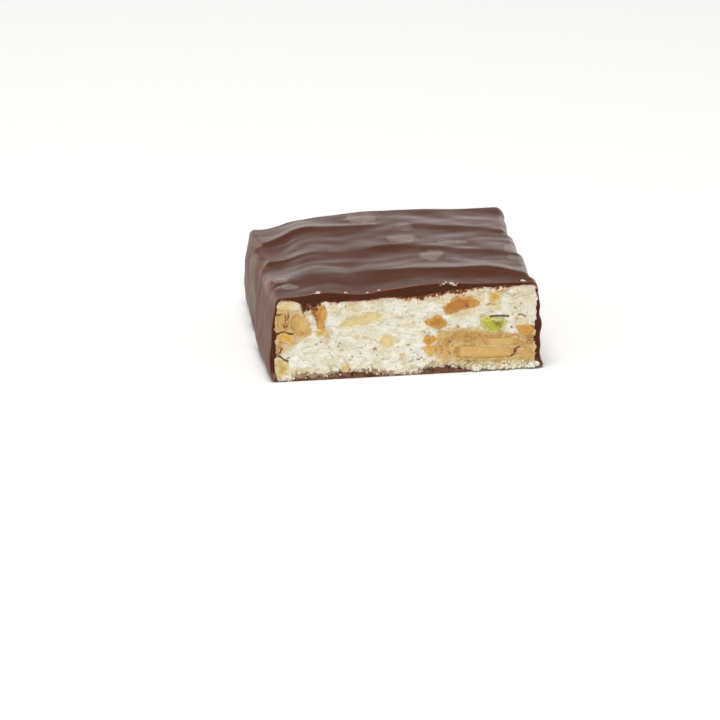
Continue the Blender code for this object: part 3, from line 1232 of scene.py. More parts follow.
    def bloom_marks(self, points: Array) -> tuple[Array, Array]:
        """How much bloom each point has.

        Args:
            points: Rows of (x, y, z).

        Returns:
            The patches on the top, before their edges are broken up, and the soft haze on the sides:
            pale bloom, with painted sheen in its upright streaks.
        """
        x, y, z = points.T
        top = between(*self.bloom_height, z) * between(*self.bloom_width, np.abs(x))
        warp = self.bloom_warp.at(points)
        bloom = self.bloom_strength * top * strongest(self.bloom_patches, x, y, warp, (1.45, 0.65))
        below = between(*self.haze_and_sheen_height, z)
        far = 0.2 + 0.8 * between(*self.haze_and_sheen_along, y)
        # Painted sheen: pale upright streaks in the haze on the sides
        uneven = self.haze_and_sheen + self.blotches.at(points) + self.sheen_streaks.at(points)
        haze_and_sheen = far * uneven * below
        return bloom, np.clip(haze_and_sheen, 0.0, self.most_haze_and_sheen)

    def marks(self, points: Array) -> dict[str, Array]:
        """Work out what the two chocolates show where.

        Args:
            points: Rows of (x, y, z).

        Returns:
            The named marks, one value for each point.
        """
        x, y, z = points.T
        edge = between(0.5, 0.0, y - self.shape.cut_y) * self.most_worn
        worn = 0.25 + self.wear.at(points)
        worn *= between(*self.wear_across, x) * between(*self.wear_height, z)
        edge = np.maximum(edge, np.clip(worn, 0.0, self.most_worn))
        # Coppery spots: thin coat, and painted glints
        for place in self.thin_spots_and_painted_glints:
            away = np.linalg.norm(points - np.array(place), axis=1)
            edge = np.maximum(edge, between(1.1, 0.3, away))
        # side: the sides, which are duller and painted a lighter brown as painted side light
        side = np.where(x < 0, between(*self.flank_left, z), between(*self.flank_right, z))
        rubbed = 0.55 + self.rub.at(points)
        scuff = np.clip(rubbed * between(*self.scuff_height, z), 0.0, 0.9)
        bloom, haze_and_sheen = self.bloom_marks(points)
        return {"bloom": bloom, "haze_and_sheen": haze_and_sheen, "edge": edge, "side": side, "scuff": scuff}

    def build(self) -> bpy.types.Object:
        """Build the shell, hang it on the bar's body and hide the imported coat.

        Returns:
            The coat.
        """
        rings = self.rings()
        points, faces = tube_of_rings(rings)
        points[:, 2] = np.maximum(points[:, 2], 0.0)
        count = len(rings[0])
        piece = make_piece(
            "milk_chocolate_coat", points, faces, self.marks(points), self.finish.make()
        )
        piece.data.materials.append(self.cut_finish.make())
        first = (self.front_ring + self.arris_rings) * count
        stop = (self.rim_end + 2) * count
        slots = np.zeros(len(piece.data.polygons), np.int32)
        slots[first:stop] = 1
        piece.data.polygons.foreach_set("material_index", slots)
        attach(piece, "root")
        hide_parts("chocolate_coat")
        return piece


# The nuts


class Surface(Enum):
    """How the knife left a nut."""

    SMOOTH = "smooth"
    GRANULAR = "granular"
    VEILED = "veiled"


@dataclass(frozen=True)
class Nut:
    """One nut that the cut goes through: its outline on the cut and how it looks."""

    name: str
    kind: NutKind
    outline: Curve
    depth: float
    surface: Surface = Surface.SMOOTH
    tone: float = 0.0
    rise: float = 0.05
    cracks: Sequence[Crack] = ()
    skin: Sequence[tuple[float, float, float]] = ()  # darker spots: x, z, radius
    end_tone: float = 0.0  # how much darker its left end is
    toast: float = 0.0  # how far its flesh is roasted to orange
    # Lighter and darker places: x, z, half sizes, and how much darker
    shades: Sequence[tuple[float, float, float, float, float]] = ()


# Cracks that run on through nuts and nougat alike
CUT_CRACKS = (
    Crack(((-23.4, 8.3), (-23.1, 9.1), (-22.4, 9.5), (-21.7, 9.4), (-21.0, 9.05), (-20.3, 9.0)), 0.13),
    Crack(((-22.3, 6.4), (-22.6, 5.5), (-23.2, 5.3)), 0.12),
    Crack(((-22.9, 5.0), (-21.9, 4.2), (-21.2, 3.7)), 0.16, 0.8),
    Crack(((-21.3, 4.3), (-20.9, 4.6)), 0.1), Crack(((-23.4, 7.4), (-23.45, 5.8)), 0.08),
    Crack(((20.1, 10.4), (20.8, 10.45), (21.5, 10.0)), 0.09, 0.4),
    Crack(((18.95, 8.15), (19.05, 8.05)), 0.14, 0.5),
    Crack(((20.4, 4.35), (19.8, 4.2), (19.55, 3.7), (19.45, 3.0), (18.9, 2.65)), 0.14, 0.6),
    Crack(((7.5, 6.15), (7.8, 6.0)), 0.12, 0.4), Crack(((9.1, 8.75), (9.5, 8.65)), 0.1, 0.15),
    Crack(((-5.9, 5.1), (-5.6, 5.5), (-5.4, 5.3)), 0.16, 0.2),
    Crack(((5.6, 8.5), (6.0, 8.45)), 0.07, 0.2), Crack(((7.5, 4.1), (7.8, 3.7)), 0.08, 0.2),
    Crack(((10.5, 2.15), (11.4, 2.1)), 0.07, 0.2), Crack(((14.4, 12.6), (14.8, 12.8)), 0.09, 0.3),
    Crack(((15.2, 10.45), (16.6, 10.42), (18.2, 10.3)), 0.24, 0.5),
    Crack(((17.8, 14.6), (19.2, 14.2), (20.2, 14.7)), 0.05, 0.12),
    Crack(((-4.6, 3.2), (-3.9, 3.7)), 0.07, 0.12), Crack(((0.6, 2.4), (1.3, 3.1)), 0.07, 0.12),
)

NUTS = (
    Nut(
        "almond_corner_rough", NutKind.ALMOND,
        ((-23.2, 13.1), (-22.4, 13.3), (-21.1, 13.1), (-20.9, 11.5), (-20.9, 9.8), (-22.2, 9.5),
         (-23.2, 9.4), (-23.5, 11.3)),
        1.6, Surface.GRANULAR, 0.2,
        cracks=(
            Crack(((-20.9, 13.2), (-21.1, 12.1), (-21.0, 10.8), (-21.7, 10.3), (-22.0, 10.8)), 0.07),
            Crack(((-21.6, 12.6), (-21.5, 10.9)), 0.06),
            Crack(((-23.3, 12.9), (-22.6, 12.7), (-22.4, 12.9)), 0.08),
        ),
    ),
    Nut(
        "almond_corner_smooth", NutKind.ALMOND,
        ((-20.7, 12.8), (-20.0, 13.1), (-19.1, 12.7), (-18.2, 11.8), (-17.6, 10.6), (-17.1, 9.5),
         (-17.5, 8.8), (-18.6, 8.5), (-19.6, 8.4), (-20.4, 8.9), (-20.8, 10.2), (-20.8, 11.6)),
        3.5, tone=-0.1,
        shades=(
            (-18.2, 11.2, 0.9, 1.2, -0.3), (-20.3, 10.2, 0.6, 2.4, 0.35), (-19.2, 9.0, 1.6, 0.4, 0.3),
        ),
        cracks=(Crack(((-20.6, 10.25), (-19.4, 9.6), (-18.1, 8.95)), 0.05, 0.12),),
    ),
    Nut(
        "almond_side_chip", NutKind.ALMOND,
        ((-22.9, 8.7), (-22.4, 9.2), (-21.5, 9.2), (-20.6, 8.8), (-20.1, 8.2), (-20.2, 7.3),
         (-20.9, 7.25), (-21.7, 7.8), (-22.5, 8.0)),
        2.2, tone=0.3, rise=0.12, toast=0.95,
        shades=((-21.0, 7.9, 1.2, 0.4, 0.35),),
    ),
    Nut(
        "almond_side_crumb", NutKind.ALMOND,
        ((-23.4, 7.1), (-22.4, 7.2), (-22.2, 6.6), (-22.6, 5.8), (-23.4, 5.6), (-23.6, 6.4)), 1.2,
        Surface.GRANULAR, 0.45,
    ),
    Nut(
        "almond_foot_pale", NutKind.PALE,
        ((-23.4, 4.3), (-22.5, 4.4), (-21.7, 3.6), (-21.0, 2.8), (-21.3, 1.9), (-22.1, 1.1),
         (-23.2, 0.8), (-23.6, 2.4)),
        2.4, Surface.VEILED, 0.9,
    ),
    Nut(
        "almond_skin_upright", NutKind.TOASTED,
        ((-16.2, 13.6), (-15.2, 13.9), (-14.6, 13.5), (-14.5, 12.3), (-14.7, 11.0), (-14.7, 10.0),
         (-15.4, 9.8), (-15.9, 10.3), (-16.0, 11.4), (-16.5, 12.3), (-16.7, 13.2)),
        2.6, Surface.GRANULAR, -0.05,
        shades=(
            (-14.9, 13.0, 0.35, 1.2, -0.5), (-15.6, 12.0, 0.3, 1.4, 0.5), (-15.1, 10.5, 0.5, 0.5, 0.0),
            (-15.2, 13.8, 0.8, 0.4, 0.5),
        ),
        skin=((-16.3, 13.3, 0.45), (-16.5, 12.8, 0.4), (-16.3, 12.2, 0.4), (-16.0, 11.5, 0.3)),
        toast=0.4,
    ),
    Nut(
        "almond_sliver_pale", NutKind.PALE,
        ((-11.8, 10.5), (-11.0, 11.1), (-9.7, 11.5), (-8.5, 11.8), (-6.8, 12.1), (-5.4, 12.2),
         (-4.5, 11.6), (-4.8, 10.8), (-6.3, 10.5), (-7.9, 10.2), (-9.7, 9.9), (-11.4, 9.9)),
        2.8, Surface.VEILED, -0.7,
        shades=((-10.0, 10.7, 1.6, 0.6, 0.4),),
    ),
    Nut(
        "almond_dot_pale", NutKind.PALE,
        ((-4.9, 7.2), (-4.2, 7.8), (-3.2, 7.8), (-2.5, 7.2), (-2.4, 6.4), (-2.8, 5.7), (-3.6, 5.6),
         (-4.5, 6.2)),
        1.5, Surface.VEILED, -0.8, toast=0.05,
    ),
    Nut(
        "almond_shard_toasted", NutKind.TOASTED,
        ((6.7, 12.1), (7.2, 12.9), (8.1, 13.7), (9.2, 14.1), (10.7, 14.15), (11.8, 14.0),
         (12.5, 13.6), (12.7, 12.8), (11.4, 12.3), (9.6, 12.0), (8.5, 11.6), (7.2, 11.4)),
        3.0, tone=0.55, toast=0.2,
        skin=((10.7, 12.75, 0.35),),
        shades=(
            (11.9, 13.2, 0.9, 0.8, -0.55), (8.6, 13.0, 0.9, 0.9, 0.1), (10.6, 13.1, 0.5, 0.8, 0.35),
            (7.3, 11.9, 0.8, 0.4, -0.2),
        ),
    ),
    Nut(
        "almond_knob_toasted", NutKind.TOASTED,
        ((3.6, 10.0), (4.3, 10.4), (5.2, 10.75), (6.0, 10.65), (6.8, 10.0), (7.0, 9.4), (6.4, 9.0),
         (5.4, 8.95), (4.3, 9.3)),
        2.4, tone=0.5, toast=0.3, rise=0.15,
        shades=((5.0, 9.8, 1.4, 0.5, 0.15), (6.5, 9.3, 0.6, 0.4, -0.3), (4.3, 10.4, 0.5, 0.4, -0.35)),
    ),
    Nut(
        "almond_chip_high", NutKind.PALE,
        ((14.9, 14.6), (15.8, 14.9), (16.7, 14.8), (16.5, 14.1), (16.0, 13.4), (15.4, 13.0),
         (14.9, 13.6)),
        1.6, Surface.GRANULAR, 0.45, toast=0.55,
    ),
    Nut(
        "pistachio", NutKind.PISTACHIO,
        ((13.5, 10.0), (14.0, 10.3), (15.1, 10.1), (16.2, 9.9), (17.3, 9.6), (17.6, 9.1),
         (17.2, 8.3), (16.3, 7.7), (15.2, 7.6), (14.4, 7.8), (13.9, 8.6)),
        2.2, Surface.GRANULAR, 0.1, rise=0.12,
        shades=((14.2, 9.6, 0.7, 0.6, -0.3), (16.6, 9.0, 0.9, 0.7, 0.6), (15.2, 8.0, 0.8, 0.4, 0.0)),
        cracks=(
            Crack(((15.4, 9.7), (16.2, 9.1), (17.1, 8.6)), 0.05, 0.15),
            Crack(((15.9, 8.3), (16.5, 9.3)), 0.05, 0.15),
        ),
    ),
    Nut(
        "almond_crumb_right", NutKind.TOASTED,
        ((20.1, 7.9), (20.9, 8.4), (22.0, 8.2), (23.0, 7.5), (22.9, 7.0), (21.6, 6.6), (20.5, 6.9)),
        1.2, Surface.GRANULAR, 0.1, toast=0.6,
        shades=((21.6, 7.2, 0.5, 0.3, 0.7), (20.5, 7.8, 0.5, 0.4, -0.6)),
    ),
    Nut(
        "almond_whole_upper", NutKind.ALMOND,
        ((7.9, 7.2), (8.5, 7.9), (9.8, 8.15), (11.8, 8.0), (13.3, 7.75), (14.4, 7.2), (15.5, 7.35),
         (18.1, 6.9), (20.0, 6.4), (21.3, 5.5), (21.4, 4.9), (19.8, 4.65), (17.2, 4.95),
         (14.5, 5.25), (11.9, 5.45), (9.7, 5.65), (8.3, 5.9)),
        4.5, tone=0.1, end_tone=0.25,
        shades=(
            (17.0, 5.5, 2.2, 0.6, -0.4), (17.5, 6.6, 3.4, 0.35, 0.35), (11.0, 6.4, 0.7, 0.7, 0.35),
            (9.5, 7.2, 1.8, 0.6, 0.1), (12.0, 7.1, 1.6, 0.5, 0.15), (20.4, 5.3, 1.2, 0.7, 0.3),
        ),
    ),
    Nut(
        "almond_whole_lower", NutKind.ALMOND,
        ((8.5, 5.1), (9.7, 5.6), (12.6, 5.25), (16.3, 4.85), (19.6, 4.45), (20.3, 3.8), (19.9, 2.8),
         (18.8, 2.3), (16.4, 2.15), (12.7, 2.4), (9.7, 2.7), (8.7, 3.4), (8.3, 4.4)),
        4.5, tone=0.0, rise=0.1, end_tone=0.35,
        shades=(
            (13.4, 4.15, 4.1, 0.8, -0.2), (8.8, 4.3, 0.8, 1.4, 0.45), (19.6, 3.2, 0.8, 0.9, 0.3),
            # The last darkens the seam under the almond above: painted shade between the two nuts
            (13.5, 2.55, 5.5, 0.3, 0.3), (14.0, 5.25, 5.4, 0.25, 0.45),
        ),
        cracks=(Crack(((10.0, 2.95), (15.5, 2.6), (19.2, 2.7)), 0.06, 0.06),),
    ),
    Nut(
        "almond_broken_left", NutKind.ALMOND,
        ((5.8, 7.4), (6.7, 8.1), (7.6, 7.4), (8.0, 5.9), (8.3, 4.3), (7.9, 3.3), (6.8, 3.2),
         (5.7, 3.9), (5.4, 5.6)),
        2.6, Surface.GRANULAR, -0.1,
    ),
    Nut(
        "almond_broken_right", NutKind.ALMOND,
        ((20.5, 3.8), (21.7, 3.95), (22.8, 3.3), (23.1, 2.2), (21.7, 1.8), (20.3, 2.0),
         (20.0, 2.8)),
        2.0, tone=0.05,
    ),
    Nut(
        "almond_crumb_upper", NutKind.TOASTED,
        ((3.2, 6.5), (4.0, 7.05), (4.9, 7.2), (5.3, 6.6), (4.7, 6.0), (3.6, 5.8)), 1.3,
        Surface.GRANULAR, -0.1, toast=0.5, shades=((3.9, 6.4, 0.4, 0.3, 0.5),),
    ),
    Nut(
        "almond_crumb_lower", NutKind.ALMOND,
        ((3.5, 5.5), (4.7, 5.6), (5.0, 4.7), (4.7, 3.7), (4.0, 3.8), (3.4, 4.7)), 1.3, tone=0.25,
        toast=1.0,
    ),
    Nut(
        "almond_crumb_foot", NutKind.ALMOND,
        ((-11.8, 2.3), (-11.0, 2.65), (-10.1, 2.2), (-10.3, 1.4), (-11.2, 1.35)), 1.2, Surface.VEILED,
        -0.2,
    ),
)


@dataclass
class NutPiece:
    """A nut as a closed piece whose face lies in the cut."""

    nut: Nut
    cut_y: float
    finish: NutFlesh
    reach: float = 0.3  # how far the face runs on under the nougat's lip
    fall: float = 0.25  # how far its edge drops away there
    side_step: float = 0.15
    ring_step: float = 0.12
    rear_rings: int = 7
    wild: float = 0.16  # how far a clean cut nut's outline strays
    wilder: float = 0.36  # how far a crumbled or veiled one's does
    straying: Grain = Grain(1.0, (0.9, 1.0, 0.9), 55)
    sway: Grain = Grain(0.03, (1.8, 1.0, 1.2), 51, 2)
    broken: Grain = Grain(0.13, (0.75, 1.0, 0.7), 52, 4)  # the grains of a crumbled face
    drag: Grain = Grain(0.015, (1.6, 1.0, 0.25), 53, 2)  # the knife's lines on a clean one
    veil: float = 0.2  # how thick the nougat over a veiled face is
    veil_change: Grain = Grain(0.05, (1.1, 1.0, 1.1), 54)
    veil_patches: Grain = Grain(0.5, (1.1, 1.0, 0.9), 65)
    crack_depth: float = 0.45
    tone_change: Grain = Grain(0.22, (1.6, 2.0, 1.1), 61)
    fine: Grain = Grain(1.0, (0.45, 1.0, 0.4), 63)
    grain_tone: Grain = Grain(0.45, (0.5, 1.0, 0.45), 62)  # of a crumbled face's grains
    dusting: float = 0.35  # most nougat dust in the middle of a crumbled face
    dust_patches: Grain = Grain(1.0, (0.5, 1.0, 0.5), 64, 2)
    widest: float = 23.3  # no nut lies farther from mid-width, where the coat begins
    seed: int = 0

    def face_outline(self) -> Array:
        """Spread points evenly round the nut and let them stray.

        Returns:
            Rows of (x, z), anticlockwise as seen from the cut.
        """
        rough = closed_curve(self.nut.outline, 240)
        round_it = np.linalg.norm(np.roll(rough, -1, axis=0) - rough, axis=1).sum()
        outline = closed_curve(self.nut.outline, int(np.clip(round_it / self.side_step, 36, 220)))
        spot = rows(outline[:, 0], 7.0, outline[:, 1])
        wild = self.wild if self.nut.surface is Surface.SMOOTH else self.wilder
        for axis in (0, 1):
            outline[:, axis] += wild * self.straying.at(spot, axis)
        outline[:, 0] = np.clip(outline[:, 0], -self.widest, self.widest)
        x, z = outline.T
        area = np.sum(x * np.roll(z, -1) - np.roll(x, -1) * z)
        return outline if area > 0 else outline[::-1]

    def relief(self, flat: Array, edge: Array) -> Array:
        """Depth of the face behind the cut.

        Args:
            flat: Rows of (x, z).
            edge: Distance to the outline, negative inside.

        Returns:
            One depth for each point.
        """
        nut = self.nut
        spot = rows(flat[:, 0], 3.0 * self.seed, flat[:, 1])
        depth = self.sway.at(spot) - nut.rise
        if nut.surface is Surface.GRANULAR:
            depth += self.broken.at(spot)
        else:
            depth += self.drag.at(spot)
        if nut.surface is Surface.VEILED:
            depth += self.veil + self.veil_change.at(spot)
        for crack in (*nut.cracks, *CUT_CRACKS):
            depth += self.crack_depth * crack.depth * crack.opening(flat, 0.1, 0.3)
        return depth + self.fall * between(-0.05, self.reach, edge)

    def marks(self, points: Array, outline: Array) -> dict[str, Array]:
        """Work out what the material shows where.

        Args:
            points: Rows of (x, y, z).
            outline: Rows of (x, z) round the face.

        Returns:
            The named marks, one value for each point.
        """
        nut = self.nut
        flat = points[:, [0, 2]]
        edge = outline_distance(flat, outline)
        left = np.min(nut.outline, axis=0)[0]
        tone = nut.tone + self.tone_change.at(points, self.seed)
        tone += nut.end_tone * between(left + 2.0, left + 0.4, flat[:, 0])
        tone += 0.35 * between(-0.8, 0.0, edge) - 0.15
        fine = self.fine.at(points)
        if nut.surface is Surface.VEILED:
            dust = 0.85 * between(-1.2, -0.1, edge + self.veil_patches.at(points))
        else:
            dust = 0.75 * between(-0.36, 0.05, edge + 0.6 * fine)
        for x, z, half_x, half_z, amount in nut.shades:
            away = np.maximum(np.abs(flat[:, 0] - x) / half_x, np.abs(flat[:, 1] - z) / half_z)
            tone += amount * between(1.25, 0.75, away + 0.25 * fine)
        if nut.surface is Surface.GRANULAR:
            tone += self.grain_tone.at(points)
            dusted = between(0.2, 0.4, self.dust_patches.at(points))
            dust = np.maximum(dust, self.dusting * dusted)
        skin = np.zeros(len(points))
        for x, z, radius in nut.skin:
            away = np.hypot(flat[:, 0] - x, flat[:, 1] - z)
            skin = np.maximum(skin, 0.8 * between(radius + 0.15, radius * 0.4, away))
        # Painted shade in the cracks
        painted_crack_shade = np.zeros(len(points))
        for crack in (*nut.cracks, *CUT_CRACKS):
            dark = min(1.0, 0.35 + crack.depth * 1.6) * crack.opening(flat, 0.06, 0.6)
            painted_crack_shade = np.maximum(painted_crack_shade, dark)
        toast = np.clip(nut.toast * (1 + 0.5 * fine), 0, 1)
        return {"tone": tone, "toast": toast, "skin": skin, "dust": dust, "crack": painted_crack_shade}

    def build(self) -> bpy.types.Object:
        """Build the nut, hang it on the bar's body and hide the imported nut.

        Returns:
            The nut.
        """
        nut = self.nut
        outline = self.face_outline()
        middle = outline.mean(axis=0)
        reach = np.linalg.norm(outline - middle, axis=1)
        grown = outline + (outline - middle) / reach[:, None] * self.reach
        face_rings = int(np.clip(np.median(reach) / self.ring_step, 9, 30))
        y_edge = self.cut_y + self.fall
        rings: list[Array] = []
        for step in range(1, self.rear_rings + 1):
            angle = math.radians(90 * step / (self.rear_rings + 1))
            flat = middle + (grown - middle) * math.sin(angle)
            rings.append(rows(flat[:, 0], y_edge + nut.depth * math.cos(angle), flat[:, 1]))
        for step in range(face_rings, 0, -1):
            flat = middle + (grown - middle) * (step / face_rings)
            edge = outline_distance(flat, outline)
            rings.append(rows(flat[:, 0], self.cut_y + self.relief(flat, edge), flat[:, 1]))
        points, faces = tube_of_rings(rings)
        piece = make_piece(
            f"{nut.name}_slice", points, faces, self.marks(points, outline),
            bpy.data.materials[self.finish.name],
        )
        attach(piece, "root")
        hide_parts(nut.name)
        return piece


# The filling


@dataclass
class NougatFilling:
    """The nougat inside the coat, with its torn and pitted cut."""

    shape: BarShape
    coat: ChocolateCoat
    finish: AeratedNougat
    columns: int = 440
    levels: int = 150
    lip: float = 0.3  # how far the cut runs on behind the coat's rim
    ragged: Grain = Grain(0.28, (0.7, 1.0, 1.0), 71)  # the bare lower edge on the right
    recess: float = 0.05
    lump: Grain = Grain(0.22, (1.3, 1.0, 1.1), 81)
    crumble: Grain = Grain(0.13, (0.5, 1.0, 0.45), 82)
    hollow: float = 0.2  # where the knife tore pieces out
    hollows: Grain = Grain(1.0, (1.7, 1.0, 1.2), 89)
    wobble: Grain = Grain(0.35, (0.9, 1.0, 0.8), 83)  # of the stains' edges
    jitter: Grain = Grain(0.2, (0.5, 1.0, 0.45), 84)  # of the nougat's edge round a nut
    nut_reach: float = 1.6  # how far from a nut the nougat is stained by it
    veil_depth: float = 0.3
    crack_depth: float = 0.5
    pore_depth: float = 0.13
    # The dragged chocolate's ragged edge, from fine to coarse, and its drips
    shreds: Grain = Grain(1.0, (0.45, 1.0, 0.5), 85)
    drifts: Grain = Grain(1.0, (1.8, 1.0, 9.0), 87, 2)
    hairs: Grain = Grain(1.0, (0.5, 1.0, 3.0), 88, 2)
    drip_left: Zone = (-19.2, -18.4)
    drip_right: Zone = (-14.8, -15.8)
    pits: Grain = Grain(1.0, (0.42, 1.0, 0.34), 86, 2)
    pore_start: float = 0.68
    pore_crowding: float = 0.33
    pore_crowd: float = 0.15  # share of that crowding which is everywhere
    pocket: float = 0.8
    body_rows: Sequence[float] = (1.2, 4.0, 12.0, 24.0, 36.0)
    taper: float = 0.045  # share by which the body behind the cut draws in
    body_floor: float = 0.85
    body_gap: float = 0.2  # between the body and the coat over it
    overlays: Sequence[Spot] = (
        Spot(-21.6, 14.4, 2.0, 1.1, 0.75), Spot(-18.6, 13.6, 1.0, 0.7, 0.4),
        Spot(22.4, 6.0, 1.1, 2.6, 0.95), Spot(15.0, 1.6, 7.5, 0.55, 0.8),
        Spot(6.3, 2.0, 2.2, 0.7, 0.55), Spot(-15.0, 8.9, 1.4, 0.8, 1.0),
        Spot(-18.0, 7.7, 1.2, 0.5, 0.35), Spot(16.2, 12.4, 1.1, 0.9, 0.65),
        Spot(11.5, 11.6, 1.6, 0.5, 0.6), Spot(5.5, 14.0, 2.2, 0.6, 0.5),
        Spot(-12.6, 12.8, 1.3, 0.9, 0.4), Spot(-18.5, 1.6, 3.6, 0.9, 0.5),
        Spot(0.4, 9.8, 1.6, 0.9, 0.35), Spot(-7.5, 7.6, 2.0, 0.8, 0.3), Spot(14.0, 0.9, 11.0, 0.5, 0.4),
        Spot(-10.0, 0.9, 12.0, 0.4, 0.45), Spot(20.6, 9.6, 1.0, 0.7, 0.5),
        Spot(21.0, 13.2, 3.0, 2.6, 0.22), Spot(9.5, 11.2, 1.8, 0.9, 0.6),
        Spot(12.8, 13.6, 1.2, 0.9, 0.5), Spot(15.8, 12.6, 1.4, 1.3, 0.45),
        Spot(11.0, 14.8, 3.6, 0.6, 0.5), Spot(20.8, 8.8, 1.4, 0.8, 0.5),
        Spot(-17.4, 12.6, 1.0, 1.2, 0.3), Spot(-9.0, 13.4, 2.4, 0.8, 0.35),
        Spot(3.0, 8.0, 1.2, 1.4, 0.3), Spot(15.4, 9.0, 2.6, 1.7, 0.4), Spot(-0.6, 3.4, 0.9, 0.6, 0.45),
    )
    # Spots of roasted skin and syrup in the nougat
    tints: Sequence[Spot] = (
        Spot(-14.1, 7.9, 0.55, 1.5, 0.5), Spot(-13.4, 9.3, 0.35, 0.5, 0.6),
        Spot(-15.2, 8.9, 0.9, 0.6, 0.35), Spot(-6.1, 13.2, 0.5, 0.25, 0.6),
        Spot(-9.8, 14.1, 1.2, 0.4, 0.55), Spot(-1.6, 11.2, 0.4, 0.25, 0.5),
        Spot(-5.7, 5.5, 0.3, 0.4, 0.9), Spot(9.2, 8.9, 0.4, 0.2, 0.8), Spot(5.7, 3.8, 0.25, 0.3, 0.7),
        Spot(18.7, 12.5, 0.2, 0.2, 0.7), Spot(20.0, 9.7, 0.4, 0.35, 0.6),
        Spot(15.0, 12.7, 0.4, 0.3, 0.6), Spot(16.9, 15.1, 1.4, 0.25, 0.5),
        Spot(-0.8, 4.1, 0.8, 0.45, 0.4), Spot(6.9, 2.3, 0.6, 0.4, 0.45),
        Spot(-22.8, 8.4, 0.7, 0.4, 0.5),
    )
    pore_fields: Sequence[Spot] = (
        Spot(-14.5, 6.6, 3.6, 1.6, 1.0), Spot(0.8, 3.6, 3.2, 2.6, 1.0), Spot(-9.0, 5.0, 4.0, 2.5, 0.4),
        Spot(20.0, 13.0, 3.0, 2.5, 0.5), Spot(-1.0, 12.0, 4.0, 1.5, 0.35),
    )
    # Outlines of groups of nuts, between which the nougat is tan and granular
    clusters: Sequence[Curve] = (
        ((5.2, 7.4), (7.0, 8.5), (10.0, 8.5), (14.0, 8.0), (18.0, 7.4), (21.0, 6.8), (23.3, 7.6),
         (23.4, 2.0), (20.0, 1.8), (9.0, 2.2), (5.3, 3.2)),
        ((-23.6, 13.5), (-20.0, 13.3), (-17.4, 11.3), (-17.2, 9.0), (-19.8, 7.1), (-22.0, 5.4),
         (-23.6, 5.2)),
    )
    top_smear: Curve = (
        (-24.0, 0.0), (-19.5, 0.1), (-18.3, 0.7), (-17.0, 0.9), (-15.5, 0.7), (-13.5, 0.5), (-11.0, 0.2),
        (-6.0, 0.2), (-1.0, 0.25), (0.6, 0.8), (3.5, 0.9), (6.0, 0.8), (8.0, 1.0), (10.5, 1.0),
        (12.0, 0.6), (14.0, 0.3), (17.5, 0.6), (19.0, 0.15), (24.0, 0.1),
    )
    foot_smear: Curve = (
        (-24.0, 0.2), (-20.5, 0.5), (-17.0, 0.9), (-6.0, 1.0), (-4.0, 0.8), (2.0, 0.8), (4.0, 0.5),
        (10.0, 0.4), (11.5, 0.15), (24.0, 0.1),
    )

    def cut_plan(self) -> tuple[Array, Array, Array, Array]:
        """Spread the cut's grid over the filling.

        Returns:
            Each point's x and z, and how far it lies below the top coat and above the bottom one.
        """
        shape, lip = self.shape, self.lip
        half = shape.half_width - self.coat.inner_margin
        along = np.linspace(-1, 1, self.columns)[None, :] * np.ones((self.levels, 1))
        up = np.linspace(0, 1, self.levels)[:, None] * np.ones((1, self.columns))
        x0 = (along * half).ravel()
        y = np.full(len(x0), shape.cut_y)
        corner = 0.7 * between(half - 1.2, half + 0.2, np.abs(x0)) ** 2
        top = shape.filling_top(x0, y) + lip - corner
        under = self.coat.coat_bottom(x0, y) - lip
        hanging = 0.3 + self.ragged.at(rows(x0, y, 0.0))
        bottom = np.where(x0 > 11.5, hanging, np.maximum(under, 0.05))
        z = bottom + up.ravel() * (top - bottom)
        grow = (self.coat.inner_margin - shape.coat_side(x0, z) + lip) * shape.beside(x0)
        x = x0 + np.sign(x0) * grow + shape.side_push(x0, y, z)
        return x, z, top - lip - z, z - under - lip

    def relief(
        self, flat: Array, spot: Array, under_top: Array, over_foot: Array
    ) -> tuple[Array, dict[str, Array]]:
        """Work out the cut's depth and what its material shows.

        Args:
            flat: Rows of (x, z) over the cut.
            spot: The same points as (x, y, z) for noise.
            under_top: Distance below the top coat.
            over_foot: Distance above the bottom coat.

        Returns:
            The depth behind the cut, and the named marks.
        """
        x, z = flat.T
        depth = self.recess + self.lump.at(spot) + self.crumble.at(spot)
        depth += self.hollow * between(0.02, 0.4, self.hollows.at(spot))
        pore = self.pores(flat, spot)
        depth += self.pore_depth * pore
        # crack_shade: painted shade in the cracks, besides their depth
        crack_shade = np.zeros(len(flat))
        for crack in CUT_CRACKS:
            hole = crack.opening(flat, 0.06, 0.3)
            depth += self.crack_depth * crack.depth * hole
            crack_shade = np.maximum(crack_shade, min(1.0, 0.45 + crack.depth) * hole)
        wobble = self.wobble.at(spot)
        cream = strongest(self.overlays, x, z, wobble, (1.35, 0.5))
        tint = strongest(self.tints, x, z, 1.5 * wobble, (1.3, 0.4))
        jitter = self.jitter.at(spot)
        nut_stain = np.zeros(len(flat))
        for cluster in self.clusters:
            edge = outline_distance(flat, closed_curve(cluster, 90)) + 1.6 * jitter
            nut_stain = np.maximum(nut_stain, (0.8 + jitter) * between(0.4, -0.3, edge))
        for nut in NUTS:
            outline = closed_curve(nut.outline, 90)
            low, high = outline.min(axis=0) - self.nut_reach, outline.max(axis=0) + self.nut_reach
            near = np.flatnonzero(np.all((flat > low) & (flat < high), axis=1))
            edge = outline_distance(flat[near], outline) + jitter[near]
            if nut.surface is Surface.VEILED:
                depth[near] += self.veil_depth * between(-0.25, -0.6, edge)
                cream[near] = np.maximum(cream[near], 0.95 * between(0.6, -0.35, edge))
            else:
                depth[near] += self.pocket * between(0.05, -0.22, edge)
                nut_stain[near] = np.maximum(nut_stain[near], 0.7 * between(0.65, -0.1, edge))
        shreds = self.shreds.at(spot)
        drifts = self.drifts.at(spot)
        hairs = self.hairs.at(spot)
        strength = read_curve(self.top_smear, x)
        dripping = between(*self.drip_left, x) * between(*self.drip_right, x)
        reach = strength * (0.22 + 0.8 * drifts + 0.9 * shreds) + dripping * (0.9 + 1.6 * hairs)
